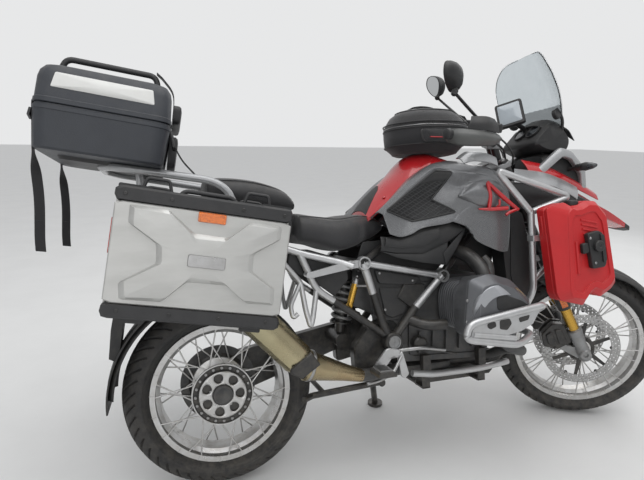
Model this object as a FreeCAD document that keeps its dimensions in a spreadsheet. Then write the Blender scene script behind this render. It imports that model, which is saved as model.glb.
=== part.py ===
import FreeCAD, Part
import math
import os
from FreeCAD import Placement, Rotation, Vector

# Adventure motorcycle with flat-twin engine, luggage and crossed-spoke wheels.
# Everything is drawn upright and straight ahead: X forward, Y left, Z up,
# zero on the ground under the rear axle. The last section leans the machine
# on its side stand and turns the steering.

doc = FreeCAD.newDocument("AdventureMotorcycle")

# Driving sizes
SIZES = [
    # name, value
    ("wheelbase", 1507),
    ("head_angle", 64.5),
    ("fork_offset", 50),
    ("trail", 99.6),
    ("lean_angle", 10.2),
    ("steer_angle", 28.3),
    ("seat_gap", 0.2),
    ("rear_tyre_radius", 318),
    ("rear_tyre_width", 170),
    ("rear_crown_radius", 92),
    ("rear_rim_radius", 231),
    ("rear_rim_width", 128),
    ("front_tyre_radius", 325),
    ("front_tyre_width", 120),
    ("front_crown_radius", 64),
    ("front_rim_radius", 256.5),
    ("front_rim_width", 92),
    ("rim_lip", 5),
    ("rim_wall", 5),
    ("spoke_diameter", 5),
    ("disc_radius", 152.5),
    ("disc_inner_radius", 118),
    ("disc_thickness", 5),
    ("disc_spacing", 148),
    ("rear_disc_radius", 132),
    ("front_axle_diameter", 25),
    ("front_axle_bore", 18),
    ("rear_hub_bore", 50),
    ("fork_leg_spacing", 216),
    ("slider_diameter", 50),
    ("fork_tube_diameter", 41),
    ("frame_tube", 27),
    ("subframe_tube", 24),
    ("guard_tube", 24),
    ("frame_width", 320),
    ("engine_width", 270),
    ("cylinder_position", 870),
    ("cylinder_height", 565),
    ("cylinder_bore_radius", 70),
    ("fin_radius", 94),
    ("fin_thickness", 5),
    ("fin_pitch", 15),
    ("case_wall", 4),
    ("case_seam", 0.2),
    ("pannier_length", 450),
    ("pannier_height", 328),
    ("pannier_inner", 255),
    ("pannier_seam", 402),
    ("pannier_outer", 440),
    ("pannier_position", -71.5),
    ("pannier_middle", 790),
    ("pannier_tilt", 10),
    ("top_case_length", 335),
    ("top_case_width", 500),
    ("top_case_body_height", 122),
    ("top_case_lid_height", 113),
    ("top_case_tilt", 9.3),
    ("can_depth", 75),
    ("bar_diameter", 22),
    ("grip_diameter", 34),
    ("screen_thickness", 4),
    ("strap_width", 27),
    ("strap_thickness", 3),
]
sizes = doc.addObject("Spreadsheet::Sheet", "Sizes")
for row, (name, value) in enumerate(SIZES, 1):
    sizes.set("A%d" % row, name)
    sizes.set("B%d" % row, str(value))
    sizes.setAlias("B%d" % row, name)
doc.recompute()


def size(expression):
    """Number that an expression over the driving sizes gives."""
    if isinstance(expression, str):
        return float(sizes.evalExpression(expression))
    return float(expression)


def bind(target, prop, expression):
    """Tie a property to the driving sizes."""
    if isinstance(expression, str):
        for name, _ in SIZES:
            expression = replace_word(expression, name)
        target.setExpression(prop, expression)
    else:
        setattr(target, prop, expression)


def replace_word(expression, name):
    """Put the sheet's name before a size's name."""
    words = expression.split(" ")
    return " ".join("Sizes." + word if word == name else word for word in words)


# Sketch and feature helpers

CHASSIS = []
STEERING = []
LOCAL = {}


def new_body(name, group, local=Placement()):
    """Empty body that belongs to a moving group."""
    body = doc.addObject("PartDesign::Body", name)
    body.Label = name
    body.AllowCompound = True
    group.append(body)
    LOCAL[body.Name] = local
    return body


def origin_feature(body, role):
    """Plane or axis of a body's origin, by its role."""
    return [item for item in body.Origin.OriginFeatures if item.Role == role][0]


def new_sketch(body, role, offset=0):
    """Sketch on an origin plane, moved along the plane's normal."""
    sketch = body.newObject("Sketcher::SketchObject", "Outline")
    sketch.AttachmentSupport = [(origin_feature(body, role), "")]
    sketch.MapMode = "FlatFace"
    bind_offset(sketch, offset)
    return sketch


def bind_offset(sketch, offset):
    """Move a sketch along its plane's normal."""
    sketch.AttachmentOffset = Placement(Vector(0, 0, size(offset)), Rotation())
    if isinstance(offset, str):
        bind(sketch, "AttachmentOffset.Base.z", offset)


def add_polygon(sketch, corners):
    """Closed outline with every corner held by two dimensions."""
    places = [Vector(size(a), size(b), 0) for a, b in corners]
    first = sketch.GeometryCount
    count = len(places)
    for here, there in zip(places, places[1:] + places[:1]):
        sketch.addGeometry(Part.LineSegment(here, there), False)
    for index in range(count):
        following = first + (index + 1) % count
        sketch.addConstraint(Sketcher.Constraint("Coincident", first + index, 2, following, 1))
    for index, (corner, place) in enumerate(zip(corners, places)):
        for kind, entry, value in (("DistanceX", corner[0], place.x), ("DistanceY", corner[1], place.y)):
            number = sketch.addConstraint(Sketcher.Constraint(kind, -1, 1, first + index, 1, value))
            if isinstance(entry, str):
                bind(sketch, "Constraints[%d]" % number, entry)


def add_circle(sketch, a, b, radius):
    """Circle held by its centre and radius."""
    index = sketch.addGeometry(Part.Circle(Vector(size(a), size(b), 0), Vector(0, 0, 1), size(radius)), False)
    for kind, entry in (("DistanceX", a), ("DistanceY", b)):
        number = sketch.addConstraint(Sketcher.Constraint(kind, -1, 1, index, 3, size(entry)))
        if isinstance(entry, str):
            bind(sketch, "Constraints[%d]" % number, entry)
    number = sketch.addConstraint(Sketcher.Constraint("Radius", index, size(radius)))
    if isinstance(radius, str):
        bind(sketch, "Constraints[%d]" % number, radius)


def pad(body, sketch, length, reverse=False):
    """Pad a sketch by a bound length."""
    feature = body.newObject("PartDesign::Pad", "Pad")
    feature.Profile = sketch
    bind(feature, "Length", length)
    feature.Reversed = reverse
    sketch.Visibility = False
    return feature


def pocket(body, sketch, length, reverse=False):
    """Cut a sketch by a bound depth."""
    feature = body.newObject("PartDesign::Pocket", "Pocket")
    feature.Profile = sketch
    bind(feature, "Length", length)
    feature.Reversed = reverse
    return feature


def revolve(body, corners, cut=False, angle=360):
    """Turn a (sideways, radius) outline about the sideways axis."""
    sketch = new_sketch(body, "YZ_Plane")
    add_polygon(sketch, corners)
    kind = "PartDesign::Groove" if cut else "PartDesign::Revolution"
    feature = body.newObject(kind, "Turning")
    feature.Profile = sketch
    feature.ReferenceAxis = (sketch, ["H_Axis"])
    feature.Angle = angle
    return feature


def polar(body, originals, count, axis="Y_Axis"):
    """Repeat features round an origin axis."""
    feature = body.newObject("PartDesign::PolarPattern", "Round")
    feature.Originals = originals
    feature.Axis = (origin_feature(body, axis), [""])
    feature.Angle = 360
    feature.Occurrences = count
    body.Tip = feature
    return feature


def slab(name, group, side, near, far, corners, local=Placement()):
    """Outline seen from the side, between two distances from the middle plane."""
    body = new_body(name, group, local)
    add_slab(body, side, near, far, corners)
    return body


def add_slab(body, side, near, far, corners, cut=False):
    """Pad or cut an outline between two distances on one side of the middle plane."""
    start = "-1 * ( %s )" % near if side > 0 else "1 * ( %s )" % near
    sketch = new_sketch(body, "XZ_Plane", start)
    add_polygon(sketch, corners)
    length = "%s - ( %s )" % (far, near)
    return pocket(body, sketch, length, side < 0) if cut else pad(body, sketch, length, side > 0)


def add_loft(body, role, sections):
    """Loft through outlines at distances along the plane's normal."""
    sketches = []
    for offset, corners in sections:
        sketch = new_sketch(body, role, offset)
        add_polygon(sketch, corners)
        sketches.append(sketch)
    feature = body.newObject("PartDesign::AdditiveLoft", "Loft")
    feature.Profile = sketches[0]
    feature.Sections = sketches[1:]
    feature.Ruled = True
    return feature


def block(width, low, high, cut):
    """Eight-cornered section with its upper corners and lower corners cut."""
    return [
        (-width, low + cut), (-width + cut, low), (width - cut, low), (width, low + cut),
        (width, high - cut), (width - cut, high), (cut - width, high), (-width, high - cut),
    ]


# Tube helpers


def bent_path(points, bend):
    """Wire along points with its corners rounded."""
    places = [Vector(*point) for point in points]
    edges = []
    start = places[0]
    for before, corner, after in zip(places, places[1:], places[2:]):
        arm_in = before.sub(corner)
        arm_out = after.sub(corner)
        half = arm_in.getAngle(arm_out) / 2
        reach = min(bend / math.tan(half), 0.45 * arm_in.Length, 0.45 * arm_out.Length)
        arm_in.normalize()
        arm_out.normalize()
        first = corner.add(arm_in.multiply(reach))
        last = corner.add(arm_out.multiply(reach))
        centre = corner.add(first.sub(corner).add(last.sub(corner)).multiply(0.5 / math.cos(half) ** 2))
        radius = first.distanceToPoint(centre)
        middle = centre.add(corner.sub(centre).normalize().multiply(radius))
        edges.append(Part.LineSegment(start, first).toShape())
        edges.append(Part.Arc(first, middle, last).toShape())
        start = last
    edges.append(Part.LineSegment(start, places[-1]).toShape())
    return Part.Wire(edges)


def tube(points, diameter, bend=40):
    """Round rod along a bent path."""
    path = bent_path(points, bend)
    direction = Vector(*points[1]).sub(Vector(*points[0]))
    circle = Part.Circle(Vector(*points[0]), direction, size(diameter) / 2).toShape()
    return path.makePipeShell([Part.Wire([circle])], True, False)


def rod(start, end, diameter):
    """Straight round bar between two points."""
    run = Vector(*end).sub(Vector(*start))
    return Part.makeCylinder(size(diameter) / 2, run.Length, Vector(*start), run)


def plate(corners, near, far, side):
    """Flat outline between two distances from the middle plane."""
    places = [Vector(x, side * near, z) for x, z in corners]
    face = Part.Face(Part.makePolygon(places + places[:1]))
    return face.extrude(Vector(0, side * (far - near), 0))


def box(low, high):
    """Box between two corners."""
    low = Vector(*low)
    high = Vector(*high)
    return Part.makeBox(high.x - low.x, high.y - low.y, high.z - low.z, low)


def mirrored(points, side):
    """Points put on one side."""
    return [(x, side * y, z) for x, y, z in points]


def fused(shapes):
    """Shapes fused one after another."""
    result = shapes[0]
    for shape in shapes[1:]:
        result = result.fuse(shape)
    return result


def joined(name, group, shapes, local=Placement()):
    """One piece made of shapes fused together."""
    feature = doc.addObject("Part::Feature", name)
    feature.Label = name
    feature.Shape = fused(shapes)
    group.append(feature)
    LOCAL[feature.Name] = local
    return feature


import Sketcher

SIDES = [("right", -1), ("left", 1)]

# Wheels

REAR_AXLE = Placement(Vector(0, 0, size("rear_tyre_radius")), Rotation())
FRONT_AXLE = Placement(Vector(size("wheelbase"), 0, size("front_tyre_radius")), Rotation())


def tyre(name, group, prefix, local):
    """Tyre with a round crown, hollow and open towards the rim."""
    radius = size(prefix + "_tyre_radius")
    half = size(prefix + "_tyre_width") / 2
    crown = size(prefix + "_crown_radius")
    rim = size(prefix + "_rim_radius")
    bead = size(prefix + "_rim_width") / 2 - size("rim_lip") - size("seat_gap")
    seat = rim - 12 + size("seat_gap")
    edge = 0.93 * half
    centre = radius - crown
    shoulder = centre + math.sqrt(crown ** 2 - edge ** 2)
    inner = crown - 18
    lining = centre + math.sqrt(inner ** 2 - (0.62 * half) ** 2)
    right = [(-bead, seat), (-bead, rim + 1), (-edge, rim + 14), (-half, (rim + 14 + shoulder) / 2),
             (-edge, shoulder)]
    left = [(-y, r) for y, r in reversed(right)]
    hollow = [(bead - 11, seat), (bead - 9, rim + 6), (0.62 * half, lining)]
    body = new_body(name, group, local)
    sketch = new_sketch(body, "YZ_Plane")
    rings = [(right, left, crown), ([(-y, r) for y, r in hollow], list(reversed(hollow)), inner)]
    for start, finish, bow in rings:
        first = sketch.GeometryCount
        for here, there in zip(start, start[1:]):
            sketch.addGeometry(Part.LineSegment(Vector(*here, 0), Vector(*there, 0)), False)
        top = Part.Arc(Vector(*start[-1], 0), Vector(0, centre + bow, 0), Vector(*finish[0], 0))
        sketch.addGeometry(top, False)
        for here, there in zip(finish, finish[1:]):
            sketch.addGeometry(Part.LineSegment(Vector(*here, 0), Vector(*there, 0)), False)
    for here, there in ((left[-1], hollow[0]), ((-hollow[0][0], hollow[0][1]), right[0])):
        sketch.addGeometry(Part.LineSegment(Vector(*here, 0), Vector(*there, 0)), False)
    feature = body.newObject("PartDesign::Revolution", "Turning")
    feature.Profile = sketch
    feature.ReferenceAxis = (sketch, ["H_Axis"])
    feature.Angle = 360
    return body


def rim(name, group, prefix, local, hub, flanges):
    """Rim, hub and forty crossed spokes from the hub flanges to the rim's outer lips."""
    half = size(prefix + "_rim_width") / 2
    radius = size(prefix + "_rim_radius")
    lip = size("rim_lip")
    wall = size("rim_wall")
    body = new_body(name, group, local)
    seat = radius - 12
    well = radius - 27
    revolve(body, [
        (-half, radius), (lip - half, radius), (lip - half, seat), (24 - half, seat - 2),
        (34 - half, well), (half - 34, well), (half - 24, seat - 2), (half - lip, seat),
        (half - lip, radius), (half, radius), (half, seat - wall), (half - 21, seat - 2 - wall),
        (half - 30, well - wall), (30 - half, well - wall), (21 - half, seat - 2 - wall), (-half, seat - wall),
    ])
    hub_turning = revolve(body, hub)
    tip = hub_turning
    spokes = []
    for side, flange_side, flange_radius in flanges:
        for lead in (-1, 1):
            start = Vector(0, flange_side, flange_radius)
            turn = math.radians(lead * 24)
            reach = seat - wall / 2
            end = Vector(reach * math.sin(turn), side * (half - 3), reach * math.cos(turn))
            run = end.sub(start)
            spoke = body.newObject("PartDesign::AdditiveCylinder", "Spoke")
            bind(spoke, "Radius", "spoke_diameter / 2")
            spoke.Height = run.Length
            spoke.Placement = Placement(start, Rotation(Vector(0, 0, 1), run))
            spokes.append(spoke)
            tip = polar(body, [spoke], 10)
            offset_turn = 9 + (18 if side > 0 else 0)
            spoke.Placement = Placement(Vector(), Rotation(Vector(0, 1, 0), offset_turn)).multiply(spoke.Placement)
    body.Tip = tip
    return body


tyre("rear_tyre", CHASSIS, "rear", REAR_AXLE)
tyre("front_tyre", STEERING, "front", FRONT_AXLE)
REAR_BORE = size("rear_hub_bore") / 2
rim("rear_rim", CHASSIS, "rear", REAR_AXLE,
    [(-74, REAR_BORE), (-74, 46), (-76, 84), (-76, 99), (-64, 99), (-62, 84), (-40, 44),
     (30, 44), (44, 92), (56, 92), (56, 60), (64, 60), (64, REAR_BORE)],
    [(-1, -70, 92), (1, 51, 88)])
FRONT_BORE = size("front_axle_diameter") / 2 + 0.5
rim("front_rim", STEERING, "front", FRONT_AXLE,
    [(-78, FRONT_BORE), (-78, 38), (-48, 38), (-46, 56), (-38, 56), (-34, 34),
     (34, 34), (38, 56), (46, 56), (48, 38), (78, 38), (78, FRONT_BORE)],
    [(-1, -42, 50), (1, 42, 50)])


def disc(name, group, local, radius, inner, near, carrier):
    """Brake disc with a six-armed carrier."""
    body = new_body(name, group, local)
    sketch = new_sketch(body, "XZ_Plane", near)
    add_circle(sketch, 0, 0, radius)
    add_circle(sketch, 0, 0, inner)
    pad(body, sketch, "disc_thickness")
    ring = new_sketch(body, "XZ_Plane", near)
    add_circle(ring, 0, 0, carrier + 16)
    add_circle(ring, 0, 0, carrier)
    pad(body, ring, "disc_thickness")
    arm = new_sketch(body, "XZ_Plane", near)
    add_polygon(arm, [(-9, carrier + 8), (9, carrier + 8), (16, size(inner) + 4), (2, size(inner) + 4)])
    polar(body, [pad(body, arm, "disc_thickness")], 6)
    return body


disc("front_disc_right", STEERING, FRONT_AXLE, "disc_radius", "disc_inner_radius",
     "disc_spacing / 2 - disc_thickness / 2", 38.2)
disc("front_disc_left", STEERING, FRONT_AXLE, "disc_radius", "disc_inner_radius",
     "-1 * disc_spacing / 2 - disc_thickness / 2", 38.2)

disc("rear_disc", CHASSIS, REAR_AXLE, "rear_disc_radius", 104, "-63.2", 60.2)

# Frame and engine

PIVOT = (583, 450)
NODE_A = (482, 730)
NODE_B = (783, 667)


def steering_point(along, ahead, across=0):
    """Point given along the steering axis, ahead of it and across."""
    angle = math.radians(size("head_angle"))
    foot = size("wheelbase") - size("fork_offset") / math.sin(angle) + size("front_tyre_radius") / math.tan(angle)
    return (foot - along * math.cos(angle) + ahead * math.sin(angle), across,
            along * math.sin(angle) + ahead * math.cos(angle))


frame = []
for _, side in SIDES:
    frame += [
        tube(mirrored([(482, 160, 730), (783, 160, 667)], side), "guard_tube"),
        tube(mirrored([(482, 160, 730), (520, 158, 613), (553, 155, 507), (583, 152, 450)], side), "frame_tube"),
        tube(mirrored([(783, 160, 667), (673, 158, 556), (617, 154, 491), (583, 152, 450)], side), "frame_tube"),
        tube(mirrored([(783, 160, 667), (850, 142, 735), (930, 95, 790), (1130, 25, 965)], side), "frame_tube"),
        tube(mirrored([(482, 160, 730), (620, 90, 800), (1000, 60, 930), (1110, 20, 1010)], side), "frame_tube"),
        rod((482, side * 178, 730), (482, side * 135.2, 730), 42),
        rod((783, side * 178, 667), (783, side * 135.2, 667), 44),
        rod((583, side * 176, 450), (583, side * 135.2, 450), 66),
        box((690, min(side * 60, side * 100), 825), (730, max(side * 60, side * 100), 904.8)),
    ]
frame.append(rod((482, -150, 730), (482, 150, 730), "guard_tube"))
head_low = steering_point(1055, 0)
head_high = steering_point(1155, 0)
frame.append(rod(head_low, head_high, 66))
frame.append(plate([(1120, 975), (1319.8, 940), (1319.8, 975), (1125, 1025)], -14, 14, 1))
head_bore = rod(steering_point(1030, 0), steering_point(1180, 0), 36)
frame_shape = fused(frame).cut(head_bore)
joined("main_frame", CHASSIS, [frame_shape])

engine = new_body("engine_block", CHASSIS)
add_slab(engine, -1, "-1 * engine_width / 2", "engine_width / 2",
         [(632, 365), (960, 345), (1015, 420), (1015, 600), (950, 665), (800, 665), (640, 690), (540, 690), (516, 640),
          (520, 545), (618, 508), (632, 480)])
for _, side in SIDES:
    add_slab(engine, side, 111, 126, [(545, 275), (700, 280), (700, 372), (668, 372), (668, 305), (545, 303)])
cover = new_sketch(engine, "YZ_Plane", 1015)
add_circle(cover, 0, 510, 95)
pad(engine, cover, 28)

for label, side in SIDES:
    place = Placement(Vector(size("cylinder_position"), 0, size("cylinder_height")), Rotation())
    body = new_body("cylinder_" + label, CHASSIS, place)
    half = size("engine_width") / 2
    revolve(body, [(side * half, 0), (side * half, 70), (side * 268, 70), (side * 268, 0)])
    fin = revolve(body, [(side * 150, 60), (side * 150, 94), (side * 155, 94), (side * 155, 60)])
    pattern = body.newObject("PartDesign::LinearPattern", "Fins")
    pattern.Originals = [fin]
    pattern.Direction = (origin_feature(body, "Y_Axis"), [""])
    pattern.Reversed = side < 0
    pattern.Occurrences = 8
    bind(pattern, "Length", "fin_pitch * 7")
    add_slab(body, side, 266, 330, [(-95, -85), (85, -85), (125, -20), (110, 75), (40, 108), (-70, 105), (-100, 40)])
    add_loft(body, "XZ_Plane", [
        (-side * 330, [(-100, -60), (-60, -95), (70, -95), (130, -30), (138, 20), (60, 90), (-20, 117), (-85, 100)]),
        (-side * 375, [(-80, -50), (-50, -75), (60, -75), (105, -25), (112, 12), (50, 70), (-15, 92), (-66, 80)]),
    ])
    body.Tip = body.Group[-1]

# Rear end

arm_corners = [(600, 480), (600, 420), (560, 405), (90, 262), (0, 250), (-70, 300), (-60, 370), (20, 400), (540, 492)]
arm = new_body("swingarm", CHASSIS)
add_slab(arm, 1, 96, 134, arm_corners)
for low, high, radius, place in ((70, 150, 108, (0, 318)), (64.3, 72, 42, (0, 318)), (-134.8, 134.8, 31, (583, 450)),
                                 (-40, 100, 26, (440, 440))):
    ring = new_sketch(arm, "XZ_Plane", -high)
    add_circle(ring, place[0], place[1], radius)
    pad(arm, ring, high - low)

shock_low = Vector(440, 0, 440)
shock_high = Vector(482, 0, 730)
run = shock_high.sub(shock_low)
turn = Placement(shock_low, Rotation(Vector(0, 1, 0), run))
shock = new_body("rear_shock", CHASSIS, turn)
profile = [(26.3, 0), (26.3, 20), (60, 20)]
for coil in range(6):
    profile += [(60 + coil * 26, 40), (73 + coil * 26, 40), (73 + coil * 26, 28), (86 + coil * 26, 28)]
profile += [(216, 24), (run.Length - 12.3, 24), (run.Length - 12.3, 0)]
revolve(shock, profile)

PANNIER = Placement(Vector(size("pannier_position"), 0, size("pannier_middle")),
                    Rotation(Vector(0, 1, 0), size("pannier_tilt")))
PANNIER_FACE = size("pannier_inner") - size("seat_gap")
left_sub = fused([
    tube([(440, 172, 722), (400, 160, 738), (265, 148, 775), (-20, 140, 880), (-150, 125, 899.8)], "subframe_tube"),
    tube([(556, 152, 476), (376, 148, 607), (316, 148, 650), (262, 148, 776)], "subframe_tube"),
    tube([(316, 148, 650), (286, 182, 530), (262, 148, 680), (150, 146, 817)], 18, 20),
    plate([(498, 745), (430, 745), (284, 716), (278, 694), (430, 712), (498, 712)], 178.2, 190, 1),
    rod((284, 146, 705), (284, 186, 705), 20),
    box((266, 133, 774), (296, 157, 800)),
    box((36, 140, 845), (76, 182, 880)),
    box((-120, 136, 85), (110, PANNIER_FACE, 103)).transformed(PANNIER.toMatrix()),
])
sub = [
    left_sub,
    left_sub.mirror(Vector(), Vector(0, 1, 0)),
    rod((-150, -132, 899.8), (-150, 132, 899.8), "subframe_tube"),
    rod((200, -150, 799), (200, 150, 799), "subframe_tube"),
]
joined("rear_subframe", CHASSIS, [fused(sub).cut(frame_shape)])

# Front suspension link

eye = steering_point(752, 0)
link = [rod(steering_point(737, 0), steering_point(767, 0), 60)]
for _, side in SIDES:
    link.append(tube([(1015.2, side * 100, 560), (1060, side * 100, 560), steering_point(752, -16, side * 14)], 30))
link_shape = fused(link).cut(rod(steering_point(700, 0), steering_point(800, 0), 25))
joined("front_link", CHASSIS, [link_shape])

# Fuel tank and panels

tank = new_body("tank", CHASSIS)
tank_outline = [(455, 915), (471, 905), (850, 905), (980, 985), (988, 1040), (912, 1081), (814, 1117), (744, 1122),
                (663, 1088), (560, 985), (470, 930)]
add_loft(tank, "XZ_Plane", [
    (-124, [(x, z - (12 if z > 950 else 0)) for x, z in tank_outline]),
    (-80, tank_outline),
    (80, tank_outline),
    (124, [(x, z - (12 if z > 950 else 0)) for x, z in tank_outline]),
])

SIDE_PANEL = [
    # x, z, x outer, z outer
    (517, 885, 600, 880),
    (732, 1074, 740, 1010),
    (798, 1076, 812, 1030),
    (972, 1048, 943, 1020),
    (1030, 985, 1000, 975),
    (1036, 893, 1005, 900),
    (1018, 745, 990, 800),
    (987, 745, 960, 800),
    (875, 793, 870, 850),
    (842, 855, 835, 880),
    (774, 875, 765, 900),
    (572, 827, 620, 850),
]
for label, side in SIDES:
    panel = new_body("tank_side_" + label, CHASSIS)
    add_loft(panel, "XZ_Plane", [
        (-side * 124.2, [(x, z) for x, z, _, _ in SIDE_PANEL]),
        (-side * 195, [(x, z) for x, z, _, _ in SIDE_PANEL]),
        (-side * 250, [(x, z) for _, _, x, z in SIDE_PANEL]),
    ])

for label, side in SIDES:
    slab("side_cover_" + label, CHASSIS, side, 152, 215,
         [(543, 800), (572, 826.8), (774, 874.8), (842, 854.8), (850, 835), (772, 710), (543, 768)])

seat = new_body("seat_rider", CHASSIS)
add_loft(seat, "YZ_Plane", [
    (262, block(160, 800.2, 905, 25)),
    (300, block(165, 800.2, 900, 25)),
    (380, block(172, 765, 890, 30)),
    (470, block(160, 778, 896, 30)),
    (512, block(123, 790, 900, 25)),
    (590, block(105, 830, 880, 20)),
])
tail = new_body("tail_unit", CHASSIS)
add_loft(tail, "YZ_Plane", [
    (-300, block(90, 912, 955, 15)),
    (-150, block(112, 912, 955, 12)),
    (20, block(122, 912, 934, 8)),
    (250, block(122, 826, 917, 8)),
])
pillion = new_body("seat_pillion", CHASSIS)
add_loft(pillion, "YZ_Plane", [
    (-30, block(140, 940.5, 1035, 20)),
    (120, block(150, 926.9, 1028, 25)),
    (215, block(150, 919.9, 1000, 25)),
    (258, block(145, 917, 950, 12)),
])

fender = [plate([(-225, 911.8), (-262, 911.8), (-335, 560), (-345, 470), (-318, 455), (-300, 560)], -55, 55, 1)]
ring = Part.makeCylinder(358, 176, Vector(0, -88, 318), Vector(0, 1, 0))
ring = ring.cut(Part.makeCylinder(353, 200, Vector(0, -100, 318), Vector(0, 1, 0)))
wedge = plate([(0, 318), (-480, 318 - 20), (-480, 318 + 420), (-260, 318 + 480)], -100, 100, 1)
fender.append(ring.common(wedge))
joined("rear_fender", CHASSIS, fender)

# Engine guards, exhaust and foot controls

cone = Part.makeCone(22, 50, 205, Vector(455, -175, 350), Vector(-200, -15, 66))
pipe = tube([(650, -60, 316), (585, -100, 330), (520, -150, 340), (455, -175, 350), (445, -176, 353)], 44, 30)
silencer = rod((258, -191.5, 409.5), (30, -195, 655), 112)
collector = box((640, -85, 296), (850, 85, 338))
headers = []
for _, side in SIDES:
    headers.append(tube([(935, side * 300, 479.8), (935, side * 300, 430), (1030, side * 285, 395),
                         (1062, side * 140, 368), (1010, side * 60, 320), (845, side * 40, 317)], 38, 40))
joined("exhaust", CHASSIS, [silencer, cone, pipe, collector] + headers)

for label, side in SIDES:
    joined("upper_guard_" + label, CHASSIS, [
        tube(mirrored([(1080, 270, 885), (958, 250, 1034), (1225, 300, 933), (1090, 272, 885)], side), "guard_tube",
             25),
        tube(mirrored([(1083, 271, 890), (1101, 255, 600), (1070, 230, 520), (1005, 175, 515), (1005, 135.2, 515)],
                      side), "guard_tube", 30),
        tube(mirrored([(1101, 256, 640), (1165, 258, 690), (1180, 270, 880), (1182, 284, 916)], side), 20, 30),
        box((1160, min(side * 262, side * 297.8), 690), (1200, max(side * 262, side * 297.8), 860)),
        box((1070, min(side * 262, side * 297.8), 780), (1180, max(side * 262, side * 297.8), 800)),
    ] if side < 0 else [
        tube(mirrored([(1080, 270, 885), (958, 250, 1034), (1225, 300, 933), (1090, 272, 885)], side), "guard_tube",
             25),
        tube(mirrored([(1083, 271, 890), (1101, 255, 600), (1070, 230, 520), (1005, 175, 515), (1005, 135.2, 515)],
                      side), "guard_tube", 30),
        tube(mirrored([(1101, 256, 640), (1165, 258, 690), (1180, 270, 880), (1182, 284, 916)], side), 20, 30),
    ])

for label, side in SIDES:
    joined("cylinder_guard_" + label, CHASSIS, [
        tube(mirrored([(1000, 135.2, 470), (1000, 175, 470), (1026, 300, 520), (1026, 398, 578), (737, 398, 540), (721, 398, 493),
                       (917, 398, 455), (1015, 345, 470), (1005, 290, 478)], side), "guard_tube", 18),
        plate([(1015, 574), (748, 538), (730, 499), (915, 462)], 396, 401, side),
    ])

SKID = [(600, 284), (700, 262), (1019, 262), (1090, 330), (1082, 336), (1014, 270), (702, 270), (602, 292)]
skid_rails = [plate(SKID, -95, 95, 1)]
for label, side in SIDES:
    skid_rails.append(tube(mirrored([(655, 160, 328), (733, 160, 314), (934, 160, 312), (1065, 145, 318)], side),
                           "guard_tube"))
    for place in (700, 930):
        skid_rails.append(box((place, min(side * 90, side * 152), 262), (place + 30, max(side * 90, side * 152), 268)))
        skid_rails.append(box((place, min(side * 146, side * 152), 262), (place + 30, max(side * 146, side * 152), 318)))
        skid_rails.append(box((place, min(side * 135.2, side * 160), 318), (place + 30, max(side * 135.2, side * 160), 385)))
joined("skid_plate", CHASSIS, skid_rails)

for label, side in SIDES:
    joined("footpeg_" + label, CHASSIS, [
        plate([(600, 425), (560, 432), (505, 390), (500, 370), (530, 360), (613, 322), (630, 335), (600, 400)],
              176.2, 188, side),
        rod((505, side * 182, 372), (505, side * 290, 366), 24),
    ])

# Front bodywork

beak = new_body("beak", CHASSIS)
add_loft(beak, "YZ_Plane", [
    (1320, block(105, 935, 985, 12)),
    (1480, block(98, 880, 958, 14)),
    (1650, block(75, 830, 890, 12)),
    (1812, block(35, 782, 806, 8)),
])
lamp = new_body("headlight", CHASSIS)
add_loft(lamp, "YZ_Plane", [
    (1300, block(90, 985.2, 1120, 20)),
    (1400, block(110, 985.2, 1110, 20)),
    (1490, block(95, 985.2, 1070, 20)),
])
dash = new_body("cockpit", CHASSIS)
add_slab(dash, -1, -105, 105,
         [(1240, 1150), (1300, 1120.2), (1400, 1110.2), (1430, 1170), (1385, 1225), (1330, 1245)])
add_slab(dash, -1, -35, 35, [(1350, 1225), (1385, 1222), (1404.3, 1248), (1397.8, 1262), (1345, 1240)])
device = new_sketch(dash, "XZ_Plane", -72)
add_polygon(device, [(1152, 1238), (1176, 1228), (1300, 1342), (1278, 1353)])
pad(dash, device, 144, False)
stem = new_sketch(dash, "XZ_Plane", -12)
add_polygon(stem, [(1215, 1265), (1300, 1200), (1320, 1225), (1235, 1285)])
pad(dash, stem, 24, False)

for label, side in SIDES:
    fairing = new_body("fairing_side_" + label, CHASSIS)
    add_slab(fairing, side, 110.2, 122,
             [(1283, 1076), (1330, 1150), (1400, 1140), (1494, 1069), (1516, 959), (1460, 950), (1380, 1020)])

SCREEN = [
    # height, forward place of the middle, half width, sweep back of the edges
    (1240, 1418, 100, 30),
    (1330, 1372, 175, 60),
    (1440, 1330, 165, 60),
    (1526, 1300, 95, 25),
]


def screen_section(height, middle, half, sweep):
    """Thin curved band across the machine."""
    thick = size("screen_thickness")
    outer = Part.Arc(Vector(middle - sweep, -half, height), Vector(middle, 0, height),
                     Vector(middle - sweep, half, height)).toShape()
    inner = Part.Arc(Vector(middle - sweep - thick, half, height), Vector(middle - thick, 0, height),
                     Vector(middle - sweep - thick, -half, height)).toShape()
    joins = [
        Part.LineSegment(Vector(middle - sweep, half, height), Vector(middle - sweep - thick, half, height)).toShape(),
        Part.LineSegment(Vector(middle - sweep - thick, -half, height),
                         Vector(middle - sweep, -half, height)).toShape(),
    ]
    return Part.Wire([outer, joins[0], inner, joins[1]])


screen = Part.makeLoft([screen_section(*row) for row in SCREEN], True, False)
joined("windshield", CHASSIS, [screen])

for label, side in SIDES:
    slab("radiator_" + label, CHASSIS, side, 124.2, 200,
         [(1036.2, 893), (1105, 888), (1150, 700), (1140, 555), (1060, 560), (1030, 640), (1018.2, 745)])

canister = new_body("fuel_can", CHASSIS)
can_outline = [(1078, 894), (1150, 912), (1177, 900), (1215, 905), (1240, 918), (1284, 915), (1335, 864), (1373, 619),
               (1300, 570), (1270, 592), (1240, 585), (1226, 547), (1127, 573)]
add_slab(canister, -1, 298, "298 + can_depth", can_outline)

# Luggage

TOP_CASE = Placement(Vector(-145, 0, 1052), Rotation(Vector(0, 1, 0), size("top_case_tilt")))
RACK_DROP = size("subframe_tube") / 2 + size("seat_gap")


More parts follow.
